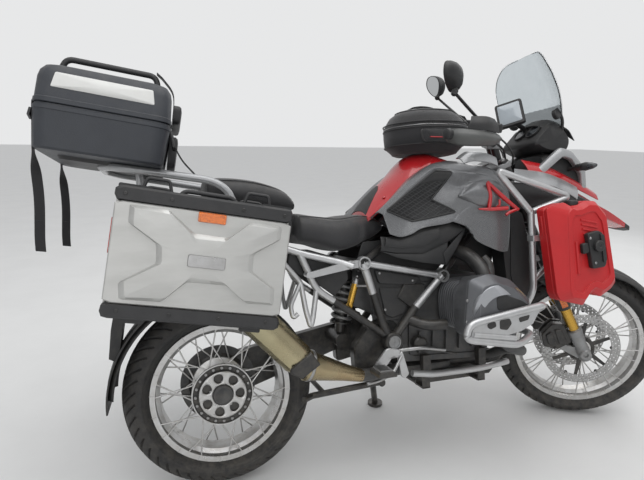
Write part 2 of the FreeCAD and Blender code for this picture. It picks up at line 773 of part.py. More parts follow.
def under_case(back, across):
    """Place on the rack, a tube's radius under the top case."""
    return tuple(TOP_CASE.multVec(Vector(-back, across, -RACK_DROP)))


rack = []
for _, side in SIDES:
    rack.append(tube([(56, side * 168, 880.2), (56, side * 168, 930), (38, side * 168, 985), (-10, side * 167, 1017),
                      under_case(18, side * 150), under_case(150, side * 132), under_case(190, side * 60)],
                     "subframe_tube", 35))
    post = under_case(80, side * 80)
    rack.append(rod((post[0], side * 80, 955.2), post, 20))
    rack.append(rod(under_case(80, side * 141), under_case(80, side * 70), 18))
rack.append(rod(under_case(190, -62), under_case(190, 62), "subframe_tube"))
rack.append(rod(under_case(80, -80), under_case(80, 80), 18))
joined("luggage_rack", CHASSIS, rack)


def rounded(length, width, inset, cut):
    """Eight-cornered plan outline reaching back from the front edge."""
    return [(-inset - cut, -width + inset), (-inset, -width + inset + cut), (-inset, width - inset - cut),
            (-inset - cut, width - inset), (-length + inset + cut, width - inset),
            (-length + inset, width - inset - cut), (-length + inset, -width + inset + cut),
            (-length + inset + cut, -width + inset)]


LENGTH = size("top_case_length")
HALF = size("top_case_width") / 2
LOWER = size("top_case_body_height")
UPPER = size("top_case_lid_height")
WALL = size("case_wall")
case_body = new_body("top_case_body", CHASSIS, TOP_CASE)
add_loft(case_body, "XY_Plane", [(0, rounded(LENGTH, HALF, 14, 30)), (LOWER, rounded(LENGTH, HALF, 0, 40))])
inside = new_sketch(case_body, "XY_Plane", LOWER)
add_polygon(inside, rounded(LENGTH, HALF, 16 + WALL, 28))
pocket(case_body, inside, LOWER - 2 * WALL)
case_lid = new_body("top_case_lid", CHASSIS, TOP_CASE)
add_loft(case_lid, "XY_Plane", [
    (LOWER + size("case_seam"), rounded(LENGTH, HALF, 0, 40)),
    (LOWER + UPPER * 0.8, rounded(LENGTH, HALF, 6, 40)),
    (LOWER + UPPER, rounded(LENGTH, HALF, 26, 40)),
])
inside = new_sketch(case_lid, "XY_Plane", LOWER + size("case_seam"))
add_polygon(inside, rounded(LENGTH, HALF, 16 + WALL, 28))
pocket(case_lid, inside, UPPER * 0.8, True)
for rail_side in (-150, 150):
    rail = new_sketch(case_lid, "XZ_Plane", rail_side - 8)
    add_polygon(rail, [(-40, LOWER + UPPER - 4), (-56, LOWER + UPPER + 46), (-284, LOWER + UPPER + 46),
                       (-300, LOWER + UPPER - 4), (-284, LOWER + UPPER - 4), (-274, LOWER + UPPER + 30),
                       (-66, LOWER + UPPER + 30), (-56, LOWER + UPPER - 4)])
    pad(case_lid, rail, 16)

for label, side in SIDES:
    length = size("pannier_length") / 2
    height = size("pannier_height") / 2
    case_outline = [(-length + 12, -height), (length - 12, -height), (length, 12 - height), (length, height - 12),
                    (length - 12, height), (12 - length, height), (-length, height - 12), (-length, 12 - height)]
    inner_outline = [(-length + WALL, -height + WALL), (length - WALL, -height + WALL),
                     (length - WALL, height - WALL), (-length + WALL, height - WALL)]
    body = slab("pannier_body_" + label, CHASSIS, side, "pannier_inner", "pannier_seam", case_outline, PANNIER)
    add_slab(body, side, "pannier_inner + case_wall", "pannier_seam", inner_outline, True)
    lid = slab("pannier_lid_" + label, CHASSIS, side, "pannier_seam + case_seam", "pannier_outer", case_outline,
               PANNIER)
    add_slab(lid, side, "pannier_seam + case_seam", "pannier_outer - case_wall", inner_outline, True)
bag = new_body("tank_bag", CHASSIS)
add_loft(bag, "XY_Plane", [
    (1122.2, [(640, -70), (700, -100), (880, -90), (930, -50), (930, 50), (880, 90), (700, 100), (640, 70)]),
    (1180, [(613, -90), (690, -138), (880, -130), (965, -70), (965, 70), (880, 130), (690, 138), (613, 90)]),
    (1250, [(640, -80), (710, -125), (860, -115), (920, -60), (920, 60), (860, 115), (710, 125), (640, 80)]),
    (1286, [(700, -50), (740, -85), (830, -80), (860, -40), (860, 40), (830, 80), (740, 85), (700, 50)]),
])

# Straps that hang from the top case


def strap(name, points, across):
    """Flat band along points."""
    thick = size("strap_thickness") / 2
    places = [Vector(*point) for point in points]
    shapes = []
    for here, there in zip(places, places[1:]):
        run = there.sub(here)
        out = run.cross(Vector(*across)).normalize().multiply(thick)
        wide = Vector(*across).normalize().multiply(size("strap_width") / 2)
        ring = [here.add(out).add(wide), here.add(out).sub(wide), here.sub(out).sub(wide), here.sub(out).add(wide)]
        face = Part.Face(Part.makePolygon(ring + ring[:1]))
        shapes.append(face.extrude(run))
    return joined(name, CHASSIS, shapes)


# Steering, in its own frame along the steering axis

STEM = Placement(Vector(*steering_point(0, 0)), Rotation(Vector(0, 1, 0), size("head_angle") - 90))
fork = []
OFFSET = size("fork_offset")
for _, side in SIDES:
    leg = side * size("fork_leg_spacing") / 2
    caliper = plate([(24.8, 400), (24.8, 480), (-20, 505), (-75, 475), (-82, 420), (-40, 392)], 58, 112, side)
    slot = rod((OFFSET, side * 66, 336.2), (OFFSET, side * 82, 336.2), 316)
    fork += [
        rod((OFFSET, leg, 300), (OFFSET, leg, 812), "slider_diameter"),
        rod((OFFSET, leg, 800), (OFFSET, leg, 1200), "fork_tube_diameter"),
        caliper.cut(slot),
        box((10, min(side * 96, side * 112), 405), (50, max(side * 96, side * 112), 470)),
    ]
fork.append(box((-22, -100, 778), (68, 100, 808)))
fork.append(box((-26, -120, 1172), (70, 120, 1194)))
fork.append(rod((0, 0, 728), (0, 0, 790), 24))
fork.append(rod((0, 0, 1045), (0, 0, 1180), 35))
axle_height = 336.2
axle = rod((OFFSET, -133, axle_height), (OFFSET, 133, axle_height), "front_axle_diameter")
fork.append(axle)
for side in (-1, 1):
    fork.append(rod((42, side * 50, 1190), (50, side * 50, 1253.5), 30))
fork_shape = fused(fork)
fork_shape = fork_shape.cut(rod((OFFSET, -150, axle_height), (OFFSET, 150, axle_height), "front_axle_bore"))
joined("fork", STEERING, [fork_shape], STEM)

bar = [tube([(945, -470, 1156), (965, -400, 1160), (1085, -190, 1185), (1107, -60, 1163), (1107, 60, 1163),
             (1085, 190, 1185), (965, 400, 1160), (945, 470, 1156)], "bar_diameter", 60)]
for _, side in SIDES:
    bar.append(rod((948, side * 460, 1156.5), (985, side * 345, 1163), "grip_diameter"))
    bar.append(tube(mirrored([(945, 475, 1156), (1000, 478, 1158), (1085, 330, 1172), (1075, 200, 1184)], side), 16, 40))
    bar.append(plate([(940, 1122), (1075, 1128), (1085, 1215), (1060, 1227), (960, 1205)], 466, 470, side)
               .rotated(Vector(1000, side * 470, 1150), Vector(0, 0, 1), side * 38)
               .translated(Vector(20, 0, 0)))
    bar.append(tube(mirrored([(1050, 225, 1182), (1040, 235, 1240), (910, 345, 1320), (910, 345, 1349.8)], side), 12, 15))
joined("handlebar", STEERING, bar)

for label, side in SIDES:
    joined("mirror_" + label, STEERING, [
        plate([(898, 1350), (922, 1350), (930, 1400), (920, 1455), (900, 1450)], 275, 445, side),
    ])

fender_ring = Part.makeCylinder(350, 150, Vector(OFFSET, -75, axle_height), Vector(0, 1, 0))
fender_ring = fender_ring.cut(Part.makeCylinder(345, 170, Vector(OFFSET, -85, axle_height), Vector(0, 1, 0)))
fender_wedge = plate([(50, 336), (560, 250), (560, 800), (-160, 800), (-330, 600)], -100, 100, 1)
fender_ring = fender_ring.common(fender_wedge)
ears = [box((30, min(side * 70, side * 82.8), 660), (70, max(side * 70, side * 82.8), 685)) for side in (-1, 1)]
joined("front_fender", STEERING, [fender_ring] + ears, STEM)

# Stand placement

LEAN = Rotation(Vector(1, 0, 0), -size("lean_angle"))
STEER_AXIS = Vector(*steering_point(1, 0)).sub(Vector(*steering_point(0, 0)))
STEER = Placement(Vector(), Rotation(STEER_AXIS, -size("steer_angle")), Vector(*steering_point(0, 0)))


def tyre_bottom(centre, axle, prefix, up):
    """Lowest height of a tyre along the upward direction."""
    crown = size(prefix + "_crown_radius")
    reach = size(prefix + "_tyre_radius") - crown
    return centre.dot(up) - reach * math.sqrt(1 - axle.dot(up) ** 2) - crown


front_centre = STEER.multVec(FRONT_AXLE.Base)
front_axle = STEER.Rotation.multVec(Vector(0, 1, 0))
pitch = 0.0
for _ in range(6):
    turn = Rotation(Vector(0, 1, 0), pitch).multiply(LEAN)
    up = turn.inverted().multVec(Vector(0, 0, 1))
    rear_low = tyre_bottom(REAR_AXLE.Base, Vector(0, 1, 0), "rear", up)
    front_low = tyre_bottom(front_centre, front_axle, "front", up)
    pitch += math.degrees((front_low - rear_low) / size("wheelbase"))
ground = (rear_low + front_low) / 2

# Stands, drawn down to the ground

STAND_PIVOT = Vector(620, 147.4, 308)
foot_x = 700
foot_y = 300
foot_z = (ground - up.x * foot_x - up.y * foot_y) / up.z
foot = Vector(foot_x, foot_y, foot_z)
STOWED = Vector(-285, 20, -25)
swing = foot.sub(STAND_PIVOT).cross(STOWED)
swing_half = Vector(swing).normalize().multiply(13)
pad_top = foot.add(Vector(up).multiply(12))
boss = engine.newObject("PartDesign::AdditiveCylinder", "StandBoss")
boss.Radius = 18
boss.Height = 20
boss_end = STAND_PIVOT.sub(Vector(swing_half).multiply(1.02))
boss.Placement = Placement(boss_end, Rotation(Vector(0, 0, 1), Vector(swing_half).multiply(-1)))
engine.Tip = boss
joined("side_stand", CHASSIS, [
    Part.makeCylinder(32, 12, foot, up),
    rod(tuple(foot.add(Vector(up).multiply(6))), tuple(STAND_PIVOT), 26),
    rod(tuple(STAND_PIVOT.sub(swing_half)), tuple(STAND_PIVOT.add(swing_half)), 36),
])
joined("centre_stand", CHASSIS, [
    tube([(560, -97, 290), (300, -97, 276), (266, -122, 275)], 22, 15),
    tube([(560, 97, 290), (300, 97, 276), (266, 122, 275)], 22, 15),
    rod((345, -97, 278.4), (345, 97, 278.4), 18),
    rod((560, -110.7, 290), (560, 110.7, 290), 26),
])

UP = Vector(up)
for label, side in SIDES:
    top = TOP_CASE.multVec(Vector(-size("top_case_length") - 1.7, side * 195, LOWER))
    edge = TOP_CASE.multVec(Vector(-size("top_case_length") + 12.3, side * 195, 0))
    end = edge.sub(Vector(UP).multiply(290))
    strap("strap_rear_" + label, [tuple(top), tuple(edge), tuple(end)], (0, 1, 0))

# Final placement

doc.recompute()
STAND = Placement(Vector(), turn)
STAND.Base = Vector(0, 0, -ground)


def settle():
    """Put every piece at its resting place."""
    for group, motion in ((CHASSIS, Placement()), (STEERING, STEER)):
        for item in group:
            item.Placement = STAND.multiply(motion).multiply(LOCAL[item.Name])


settle()
doc.recompute()
low = Vector(1e9, 1e9, 1e9)
high = Vector(-1e9, -1e9, -1e9)
for item in CHASSIS + STEERING:
    points, _ = item.Shape.tessellate(1.0)
    for point in points:
        low = Vector(min(low.x, point.x), min(low.y, point.y), min(low.z, point.z))
        high = Vector(max(high.x, point.x), max(high.y, point.y), max(high.z, point.z))
STAND.Base = STAND.Base.sub(Vector((low.x + high.x) / 2, (low.y + high.y) / 2, 0))
settle()
doc.recompute()

os.makedirs("parts", exist_ok=True)
for item in CHASSIS + STEERING:
    if "Invalid" in item.State or "Error" in item.State:
        raise RuntimeError(item.Label + " did not build")
    if item.Shape.isNull() or not item.Shape.isValid():
        raise RuntimeError(item.Label + " has a faulty shape")
    item.Shape.exportStep("parts/" + item.Label + ".step")
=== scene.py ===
import math

import bmesh
import bpy
import numpy as np
from mathutils import Matrix


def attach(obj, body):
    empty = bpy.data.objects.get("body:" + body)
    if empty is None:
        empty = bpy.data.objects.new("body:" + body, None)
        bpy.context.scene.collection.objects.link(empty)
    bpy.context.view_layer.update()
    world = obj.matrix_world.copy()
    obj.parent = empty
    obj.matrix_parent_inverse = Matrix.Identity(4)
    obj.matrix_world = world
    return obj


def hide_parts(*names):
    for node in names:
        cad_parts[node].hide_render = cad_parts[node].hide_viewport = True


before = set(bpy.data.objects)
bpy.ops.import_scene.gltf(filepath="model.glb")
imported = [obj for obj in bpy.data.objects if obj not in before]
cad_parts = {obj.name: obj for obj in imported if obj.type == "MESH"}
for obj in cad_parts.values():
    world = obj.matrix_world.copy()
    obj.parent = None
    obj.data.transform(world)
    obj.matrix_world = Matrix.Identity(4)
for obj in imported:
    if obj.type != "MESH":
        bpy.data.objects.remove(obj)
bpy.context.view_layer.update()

# Places: millimetres of the upright motorcycle, X forward, Y left, Z up


def turn_about(axis, degrees):
    """Rotation matrix: cos a on the diagonal, sin a times the cross matrix, and the axis' own outer product."""
    axis = np.asarray(axis, float) / np.linalg.norm(axis)
    angle = math.radians(degrees)
    cross = np.array([[0, -axis[2], axis[1]], [axis[2], 0, -axis[0]], [-axis[1], axis[0], 0]])
    return math.cos(angle) * np.eye(3) + math.sin(angle) * cross + (1 - math.cos(angle)) * np.outer(axis, axis)


def place(base=(0, 0, 0), rotation=np.eye(3)):
    """Four by four matrix of a turn followed by a shift."""
    matrix = np.eye(4)
    matrix[:3, :3] = rotation
    matrix[:3, 3] = base
    return matrix


STEERING_FOOT = (1606.62, 0, 0)
STEERING_AXIS = (-0.430511, 0, 0.902585)
LEAN = turn_about((0, 1, 0), -0.066664) @ turn_about((1, 0, 0), -10.2)
CHASSIS = place((-683.165, -179.963, 1.454), LEAN)
STEERED = CHASSIS @ place(STEERING_FOOT) @ place(rotation=turn_about(STEERING_AXIS, -28.3)) @ np.linalg.inv(
    place(STEERING_FOOT))
FORK = STEERED @ place(STEERING_FOOT, turn_about((0, 1, 0), -25.5))
REAR_WHEEL = CHASSIS @ place((0, 0, 318))
FRONT_WHEEL = STEERED @ place((1507, 0, 325))
PANNIER_AT = np.array([-71.5, 0, 790])
PANNIER_TILT = turn_about((0, 1, 0), 10)
PANNIER = CHASSIS @ place(PANNIER_AT, PANNIER_TILT)
TOP_CASE_AT = np.array([-145, 0, 1052])
TOP_CASE_TILT = turn_about((0, 1, 0), 9.3)
TOP_CASE = CHASSIS @ place(TOP_CASE_AT, TOP_CASE_TILT)
BOTH = (-1, 1)
SIDES = ((-1, "right"), (1, "left"))


# Sheets of points: each shape is a grid of points and its quads


def grid(points, loop_rows=False, loop_columns=False):
    """Vertices and quads of a sheet of points whose rows or columns may close on themselves."""
    rows, columns = points.shape[:2]
    index = np.arange(rows * columns).reshape(rows, columns)
    if loop_rows:
        index = np.vstack([index, index[:1]])
    if loop_columns:
        index = np.hstack([index, index[:, :1]])
    quads = np.stack([index[:-1, :-1], index[1:, :-1], index[1:, 1:], index[:-1, 1:]], -1).reshape(-1, 4)
    return points.reshape(-1, 3), quads


def unit(vectors):
    """Vectors divided by their length."""
    return vectors / np.maximum(np.linalg.norm(vectors, axis=-1, keepdims=True), 1e-9)


def spline(corners, count, closed=False):
    """Catmull-Rom curve through corners: cubic blend of four neighbours, sampled count times a span."""
    corners = np.asarray(corners, float)
    if closed:
        before, here, there, after = (np.roll(corners, shift, 0) for shift in (1, 0, -1, -2))
    else:
        padded = np.concatenate([2 * corners[:1] - corners[1:2], corners, 2 * corners[-1:] - corners[-2:-1]])
        before, here, there, after = padded[:-3], padded[1:-2], padded[2:-1], padded[3:]
    t = np.arange(count).reshape((1, count) + (1,) * (corners.ndim - 1)) / count
    before, here, there, after = (part[:, None] for part in (before, here, there, after))
    curve = here + 0.5 * t * (there - before + t * (2 * before - 5 * here + 4 * there - after
                                                    + t * (3 * (here - there) + after - before)))
    curve = curve.reshape((-1,) + corners.shape[1:])
    return curve if closed else np.concatenate([curve, corners[-1:]])


def rounded(corners, bend=30, steps=6, closed=False):
    """Path whose corners turn into parabolas (1-t)^2 A + 2t(1-t) C + t^2 B between points a bend's reach away."""
    corners = np.asarray(corners, float)
    if len(corners) == 2:
        return corners
    if closed:
        before, corner, after = np.roll(corners, 1, 0), corners, np.roll(corners, -1, 0)
    else:
        before, corner, after = corners[:-2], corners[1:-1], corners[2:]
    arms = []
    for end in (before, after):
        run = end - corner
        length = np.linalg.norm(run, axis=1, keepdims=True)
        arms.append(corner + run / length * np.minimum(bend, 0.48 * length))
    t = np.linspace(0, 1, steps)[None, :, None]
    curve = (1 - t) ** 2 * arms[0][:, None] + 2 * t * (1 - t) * corner[:, None] + t ** 2 * arms[1][:, None]
    curve = curve.reshape(-1, corners.shape[1])
    return curve if closed else np.vstack([corners[:1], curve, corners[-1:]])


def resampled(line, count):
    """Line measured along its own length and read at even steps."""
    line = np.asarray(line, float)
    along = np.concatenate([[0], np.cumsum(np.linalg.norm(np.diff(line, axis=0), axis=1))])
    steps = np.linspace(0, along[-1], count)
    return np.stack([np.interp(steps, along, line[:, k]) for k in range(line.shape[1])], 1)


def ring_read(outline, count):
    """Closed outline read at even steps."""
    return resampled(np.vstack([outline, outline[:1]]), count + 1)[:-1]


def frames_along(path):
    """Tangent of a path, and two directions across it that start from the normal of its best plane."""
    path = np.asarray(path, float)
    tangent = unit(np.gradient(path, axis=0)) if len(path) > 2 else unit(np.repeat(path[1:] - path[:1], 2, 0))
    spread = np.linalg.svd(path - path.mean(0))[2][-1]
    side = unit(np.cross(tangent, np.cross(spread, tangent)))
    return tangent, side, np.cross(tangent, side)


def pipe(corners, diameter, bend=30, sides=14, smooth=False):
    """Tube: path point plus radius times (cos a side + sin a up), ends drawn together on the path."""
    path = spline(corners, 6) if smooth else rounded(corners, bend)
    _, side, up = frames_along(path)
    angle = np.linspace(0, 2 * math.pi, sides, endpoint=False)
    ring = np.cos(angle)[None, :, None] * side[:, None] + np.sin(angle)[None, :, None] * up[:, None]
    radius = np.broadcast_to(np.asarray(diameter, float) / 2, (len(path),)) if np.ndim(diameter) == 0 else np.interp(
        np.linspace(0, 1, len(path)), np.linspace(0, 1, len(diameter)), np.asarray(diameter, float) / 2)
    wall = path[:, None] + radius[:, None, None] * ring
    ends = np.repeat(path[[0, -1]][:, None], sides, 1)
    return grid(np.concatenate([ends[:1], wall, ends[1:]]), loop_columns=True)


def strip(path, across, width, thickness):
    """Flat band: path point plus half a width along across and half a thickness square to it, as a closed ring."""
    path = np.asarray(path, float)
    tangent = unit(np.gradient(path, axis=0))
    wide = unit(np.broadcast_to(np.asarray(across, float), path.shape)) * width / 2
    thick = unit(np.cross(tangent, wide)) * thickness / 2
    ring = np.stack([wide + thick, wide - thick, -wide - thick, -wide + thick], 1)
    wall = path[:, None] + ring
    ends = np.repeat(path[[0, -1]][:, None], 4, 1)
    return grid(np.concatenate([ends[:1], wall, ends[1:]]), loop_columns=True)


def lathe(profile, sides=48, closed=False):
    """Solid of revolution about the sideways axis: (r cos a, sideways, r sin a) for (sideways, r) in the profile."""
    profile = np.asarray(profile, float)
    angle = np.linspace(0, 2 * math.pi, sides, endpoint=False)
    points = np.stack([
        profile[:, 1:] * np.cos(angle), np.repeat(profile[:, :1], sides, 1), profile[:, 1:] * np.sin(angle)], -1)
    return grid(points, loop_rows=closed, loop_columns=True)


def aimed(sheet, base, direction):
    """Sheet whose sideways axis is turned to a direction and put at a base point."""
    direction = unit(np.asarray(direction, float))
    across = unit(np.cross(direction, (0.13, 0.21, 0.97) if abs(direction[2]) < 0.8 else (0.97, 0.1, 0.2)))
    basis = np.stack([across, direction, np.cross(across, direction)], 1)
    points, quads = sheet
    return points @ basis.T + np.asarray(base, float), quads


def closed_stack(rings):
    """Closed skin of level rings, its ends drawn together on their centres."""
    ends = [np.repeat(ring.mean(0)[None], len(ring), 0) for ring in (rings[0], rings[-1])]
    return grid(np.stack([ends[0]] + list(rings) + [ends[1]]), loop_columns=True)


def turned_level(sheet, degrees, base):
    """Sheet turned about the upright axis and moved to a base point."""
    points, quads = sheet
    return points @ turn_about((0, 0, 1), degrees).T + base, quads


def shifted(sheet, shift):
    """Sheet moved by a shift."""
    points, quads = sheet
    return points + shift, quads


def slab(outline, near, far, edge=1.5, side=1):
    """Plate: the outline at two distances from the middle, its rims drawn in by edge and closed on its centre."""
    outline = np.asarray(outline, float)
    middle = outline.mean(0)
    inward = outline - unit(outline - middle) * edge
    hub = np.repeat(middle[None], len(outline), 0)
    rows = [(hub, near), (inward, near), (outline, near + edge), (outline, far - edge), (inward, far), (hub, far)]
    points = np.stack([np.stack([flat[:, 0], np.full(len(flat), side * y), flat[:, 1]], 1) for flat, y in rows])
    return grid(points, loop_columns=True)


def loft(sections, count=6, columns=None):
    """Smooth closed skin: outlines read at even steps, with Catmull-Rom blends from one to the next."""
    columns = columns or max(len(section) for section in sections)
    read = [ring_read(np.asarray(section, float), columns) for section in sections]
    return closed_stack(spline(np.stack(read), count))


def oval(half_width, half_height, power=2.5, count=40):
    """Superellipse |x/a|^n + |y/b|^n = 1 as (x, y) points."""
    angle = np.linspace(0, 2 * math.pi, count, endpoint=False)
    wide, high = np.cos(angle), np.sin(angle)
    return np.stack([half_width * np.sign(wide) * np.abs(wide) ** (2 / power),
                     half_height * np.sign(high) * np.abs(high) ** (2 / power)], 1)


def mirrored(sheet, side):
    """Sheet put on the right (-1) or left (1) side."""
    points, quads = sheet
    return points * np.array([1, side, 1]), quads


def both(sheets):
    """Sheets drawn on the left, for the right and then the left side."""
    return [mirrored(merged(sheets), side) for side in BOTH]


def turned(profile, sides, base, direction):
    """Solid of revolution stood on a base point and turned to a direction."""
    return aimed(lathe(profile, sides), base, direction)


def soft_slab(corners, bend, steps, near, far, edge=1.5, side=1):
    """Plate whose outline has rounded corners."""
    return slab(rounded(corners, bend, steps, True), near, far, edge, side)


def tube(side, corners, diameter, bend=30, **more):
    """Tube drawn on the left and put on one side."""
    return mirrored(pipe(corners, diameter, bend, **more), side)


def bolt(radius=5, height=4):
    """Round-headed bolt with a sunk socket, standing on its base along the sideways axis."""
    return lathe([(-1, 0), (-1, radius), (height * 0.7, radius), (height, radius * 0.75), (height, radius * 0.4),
                  (height * 0.45, radius * 0.4), (height * 0.45, 0)], 12)


def bolts(places, direction, radius=5, height=4):
    """Bolts at several places with one direction."""
    return merged([aimed(bolt(radius, height), spot, direction) for spot in places])


def merged(sheets):
    """Sheets gathered into one."""
    starts = np.cumsum([0] + [len(points) for points, _ in sheets[:-1]])
    return (np.vstack([points for points, _ in sheets]),
            np.vstack([quads + start for (_, quads), start in zip(sheets, starts)]))


def perforated(inner, outer, count, rows, hole, steps=4):
    """Flat ring with round holes: each cell's border, in (angle, radius), runs straight to the circle inside it."""
    t = np.linspace(-1, 1, steps, endpoint=False)
    one = np.ones_like(t)
    border = np.concatenate([np.stack([t, -one], 1), np.stack([one, t], 1), np.stack([-t, one], 1),
                             np.stack([-one, -t], 1)])
    circle = border / np.linalg.norm(border, axis=1, keepdims=True)
    heights = (outer - inner) / rows
    pieces = []
    for row in range(rows):
        centre = inner + (row + 0.5) * heights
        turn = 2 * math.pi / count
        angles = (np.arange(count) + 0.5 * (row % 2)) * turn
        around = np.stack([border[:, 0] * turn / 2, centre + border[:, 1] * heights / 2], 1)
        inside = np.stack([circle[:, 0] * hole / centre, centre + circle[:, 1] * hole], 1)
        cell = np.stack([around, (around + inside) / 2, inside])
        angle = cell[None, :, :, 0] + angles[:, None, None]
        radius = np.broadcast_to(cell[None, :, :, 1], angle.shape)
        points = np.stack([radius * np.cos(angle), np.zeros_like(angle), radius * np.sin(angle)], -1)
        first, quads = grid(points[0], loop_columns=True)
        shifts = np.arange(count)[:, None, None] * len(first)
        pieces.append((points.reshape(-1, 3), (quads[None] + shifts).reshape(-1, 4)))
    return merged(pieces)


# Making a piece


MERGED_WITHIN = 2e-5  # metres between points that become one


def piece(name, sheets, finish, body="chassis", where=CHASSIS, replaces=(), wall=0, bevel=0, sharp=35):
    """Mesh piece from sheets in a frame's millimetres, put in metres, with its neighbours' points merged."""
    points, quads = merged(sheets)
    points = (points @ where[:3, :3].T + where[:3, 3]) / 1000
    mesh = bpy.data.meshes.new(name)
    mesh.from_pydata(points.tolist(), [], quads.tolist())
    work = bmesh.new()
    work.from_mesh(mesh)
    bmesh.ops.remove_doubles(work, verts=work.verts, dist=MERGED_WITHIN)
    bmesh.ops.dissolve_degenerate(work, edges=work.edges, dist=1e-6)
    bmesh.ops.recalc_face_normals(work, faces=work.faces)
    work.to_mesh(mesh)
    work.free()
    item = bpy.data.objects.new(name, mesh)
    bpy.context.scene.collection.objects.link(item)
    if wall:
        solid = item.modifiers.new("Wall", "SOLIDIFY")
        solid.thickness = wall / 1000
        solid.offset = -1
    if bevel:
        edges = item.modifiers.new("Edges", "BEVEL")
        edges.width = bevel / 1000
        edges.segments = 2
        edges.limit_method = "ANGLE"
    mesh.shade_smooth()
    mesh.set_sharp_from_angle(angle=math.radians(sharp))
    mesh.materials.append(finish)
    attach(item, body)
    if replaces:
        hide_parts(*replaces)
    return item


# Finishes


def new_group(name, inputs, outputs):
    """Node group with named sockets; returns it with its input and output nodes."""
    group = bpy.data.node_groups.new(name, "ShaderNodeTree")
    for label, kind, value in inputs:
        socket = group.interface.new_socket(name=label, in_out="INPUT", socket_type="NodeSocket" + kind)
        if value is not None:
            socket.default_value = value
    for label, kind in outputs:
        group.interface.new_socket(name=label, in_out="OUTPUT", socket_type="NodeSocket" + kind)
    return group, group.nodes.new("NodeGroupInput"), group.nodes.new("NodeGroupOutput")


def feed(tree, made, values):
    """Node whose inputs take a table of (input, value or socket)."""
    for key, value in values:
        if isinstance(value, bpy.types.NodeSocket):
            tree.links.new(value, made.inputs[key])
        else:
            made.inputs[key].default_value = value
    return made


def node(tree, kind, values=(), **settings):
    """Shader node with its settings and a table of (input, value or socket)."""
    made = tree.nodes.new("ShaderNode" + kind)
    for key, value in settings.items():
        setattr(made, key, value)
    return feed(tree, made, values)


def mixed(tree, factor, first, second):
    """Colour mixed between two by a factor socket."""
    mix = tree.nodes.new("ShaderNodeMix")
    mix.data_type = "RGBA"
    return feed(tree, mix, ((0, factor), (6, first), (7, second))).outputs[2]


def group_node(tree, group, values):
    """Shader node that holds a group, with its table of inputs."""
    made = tree.nodes.new("ShaderNodeGroup")
    made.node_tree = group
    return feed(tree, made, values)


def mottle_group():
    """Colour that drifts between two tones by two octaves of noise."""
    tree, source, target = new_group("Mottle", [
        ("Vector", "Vector", None), ("Color", "Color", (0.5, 0.5, 0.5, 1)), ("Second", "Color", (0.4, 0.4, 0.4, 1)),
        ("Scale", "Float", 12.0), ("Amount", "Float", 0.5)], [("Color", "Color"), ("Value", "Float")])
    noise = node(tree, "TexNoise", [("Vector", source.outputs["Vector"]), ("Scale", source.outputs["Scale"]),
                                    ("Detail", 6.0), ("Roughness", 0.6)])
    spread = node(tree, "MapRange", [("Value", noise.outputs["Fac"]), ("From Min", 0.38), ("From Max", 0.66)])
    weight = node(tree, "Math", [(0, spread.outputs["Result"]), (1, source.outputs["Amount"])], operation="MULTIPLY")
    tone = mixed(tree, weight.outputs[0], source.outputs["Color"], source.outputs["Second"])
    feed(tree, target, [("Color", tone), ("Value", noise.outputs["Fac"])])
    return tree


def grain_group():
    """Bump from fine noise over a slower wave, with the roughness it carries."""
    tree, source, target = new_group("Grain", [
        ("Vector", "Vector", None), ("Scale", "Float", 900.0), ("Strength", "Float", 0.2),
        ("Roughness", "Float", 0.5), ("Spread", "Float", 0.15)], [("Normal", "Vector"), ("Roughness", "Float")])
    fine = node(tree, "TexNoise", [("Vector", source.outputs["Vector"]), ("Scale", source.outputs["Scale"]),
                                   ("Detail", 3.0)])
    slow = node(tree, "TexNoise", [("Vector", source.outputs["Vector"]), ("Scale", 14.0), ("Detail", 5.0)])
    bump = node(tree, "Bump", [("Height", fine.outputs["Fac"]), ("Strength", source.outputs["Strength"]),
                               ("Distance", 0.001)])
    drift = node(tree, "Math", [(0, slow.outputs["Fac"]), (1, 0.5)], operation="SUBTRACT")
    rough = node(tree, "Math", [(0, drift.outputs[0]), (1, source.outputs["Spread"]),
                                (2, source.outputs["Roughness"])], operation="MULTIPLY_ADD", use_clamp=True)
    feed(tree, target, [("Normal", bump.outputs[0]), ("Roughness", rough.outputs[0])])
    return tree


DUST_TONE = (0.33, 0.29, 0.23, 1)


def dust_group():
    """Pale dust gathered on faces that look up and near the ground, broken up by noise."""
    tree, source, target = new_group("Dust", [
        ("Vector", "Vector", None), ("Color", "Color", (0.1, 0.1, 0.1, 1)), ("Amount", "Float", 0.3)],
                                     [("Color", "Color"), ("Mask", "Float")])
    geometry = node(tree, "NewGeometry")
    normal = node(tree, "SeparateXYZ", [(0, geometry.outputs["Normal"])])
    spot = node(tree, "SeparateXYZ", [(0, source.outputs["Vector"])])
    low = node(tree, "MapRange", [("Value", spot.outputs["Z"]), ("From Min", 0.75), ("From Max", 0.0)])
    upward = node(tree, "MapRange", [("Value", normal.outputs["Z"]), ("From Min", 0.0), ("From Max", 1.0),
                                     ("To Max", 0.6)])
    both = node(tree, "Math", [(0, low.outputs[0]), (1, upward.outputs[0])], operation="ADD")
    noise = node(tree, "TexNoise", [("Vector", source.outputs["Vector"]), ("Scale", 40.0), ("Detail", 8.0),
                                    ("Roughness", 0.7)])
    patch = node(tree, "MapRange", [("Value", noise.outputs["Fac"]), ("From Min", 0.35), ("From Max", 0.75)])
    mask = node(tree, "Math", [(0, both.outputs[0]), (1, patch.outputs[0])], operation="MULTIPLY")
    mask = node(tree, "Math", [(0, mask.outputs[0]), (1, source.outputs["Amount"])], operation="MULTIPLY",
                use_clamp=True)
    tone = mixed(tree, mask.outputs[0], source.outputs["Color"], DUST_TONE)
    feed(tree, target, [("Color", tone), ("Mask", mask.outputs[0])])
    return tree


MOTTLE = mottle_group()
GRAIN = grain_group()
DUST = dust_group()


COAT_ROUGHNESS = 0.05


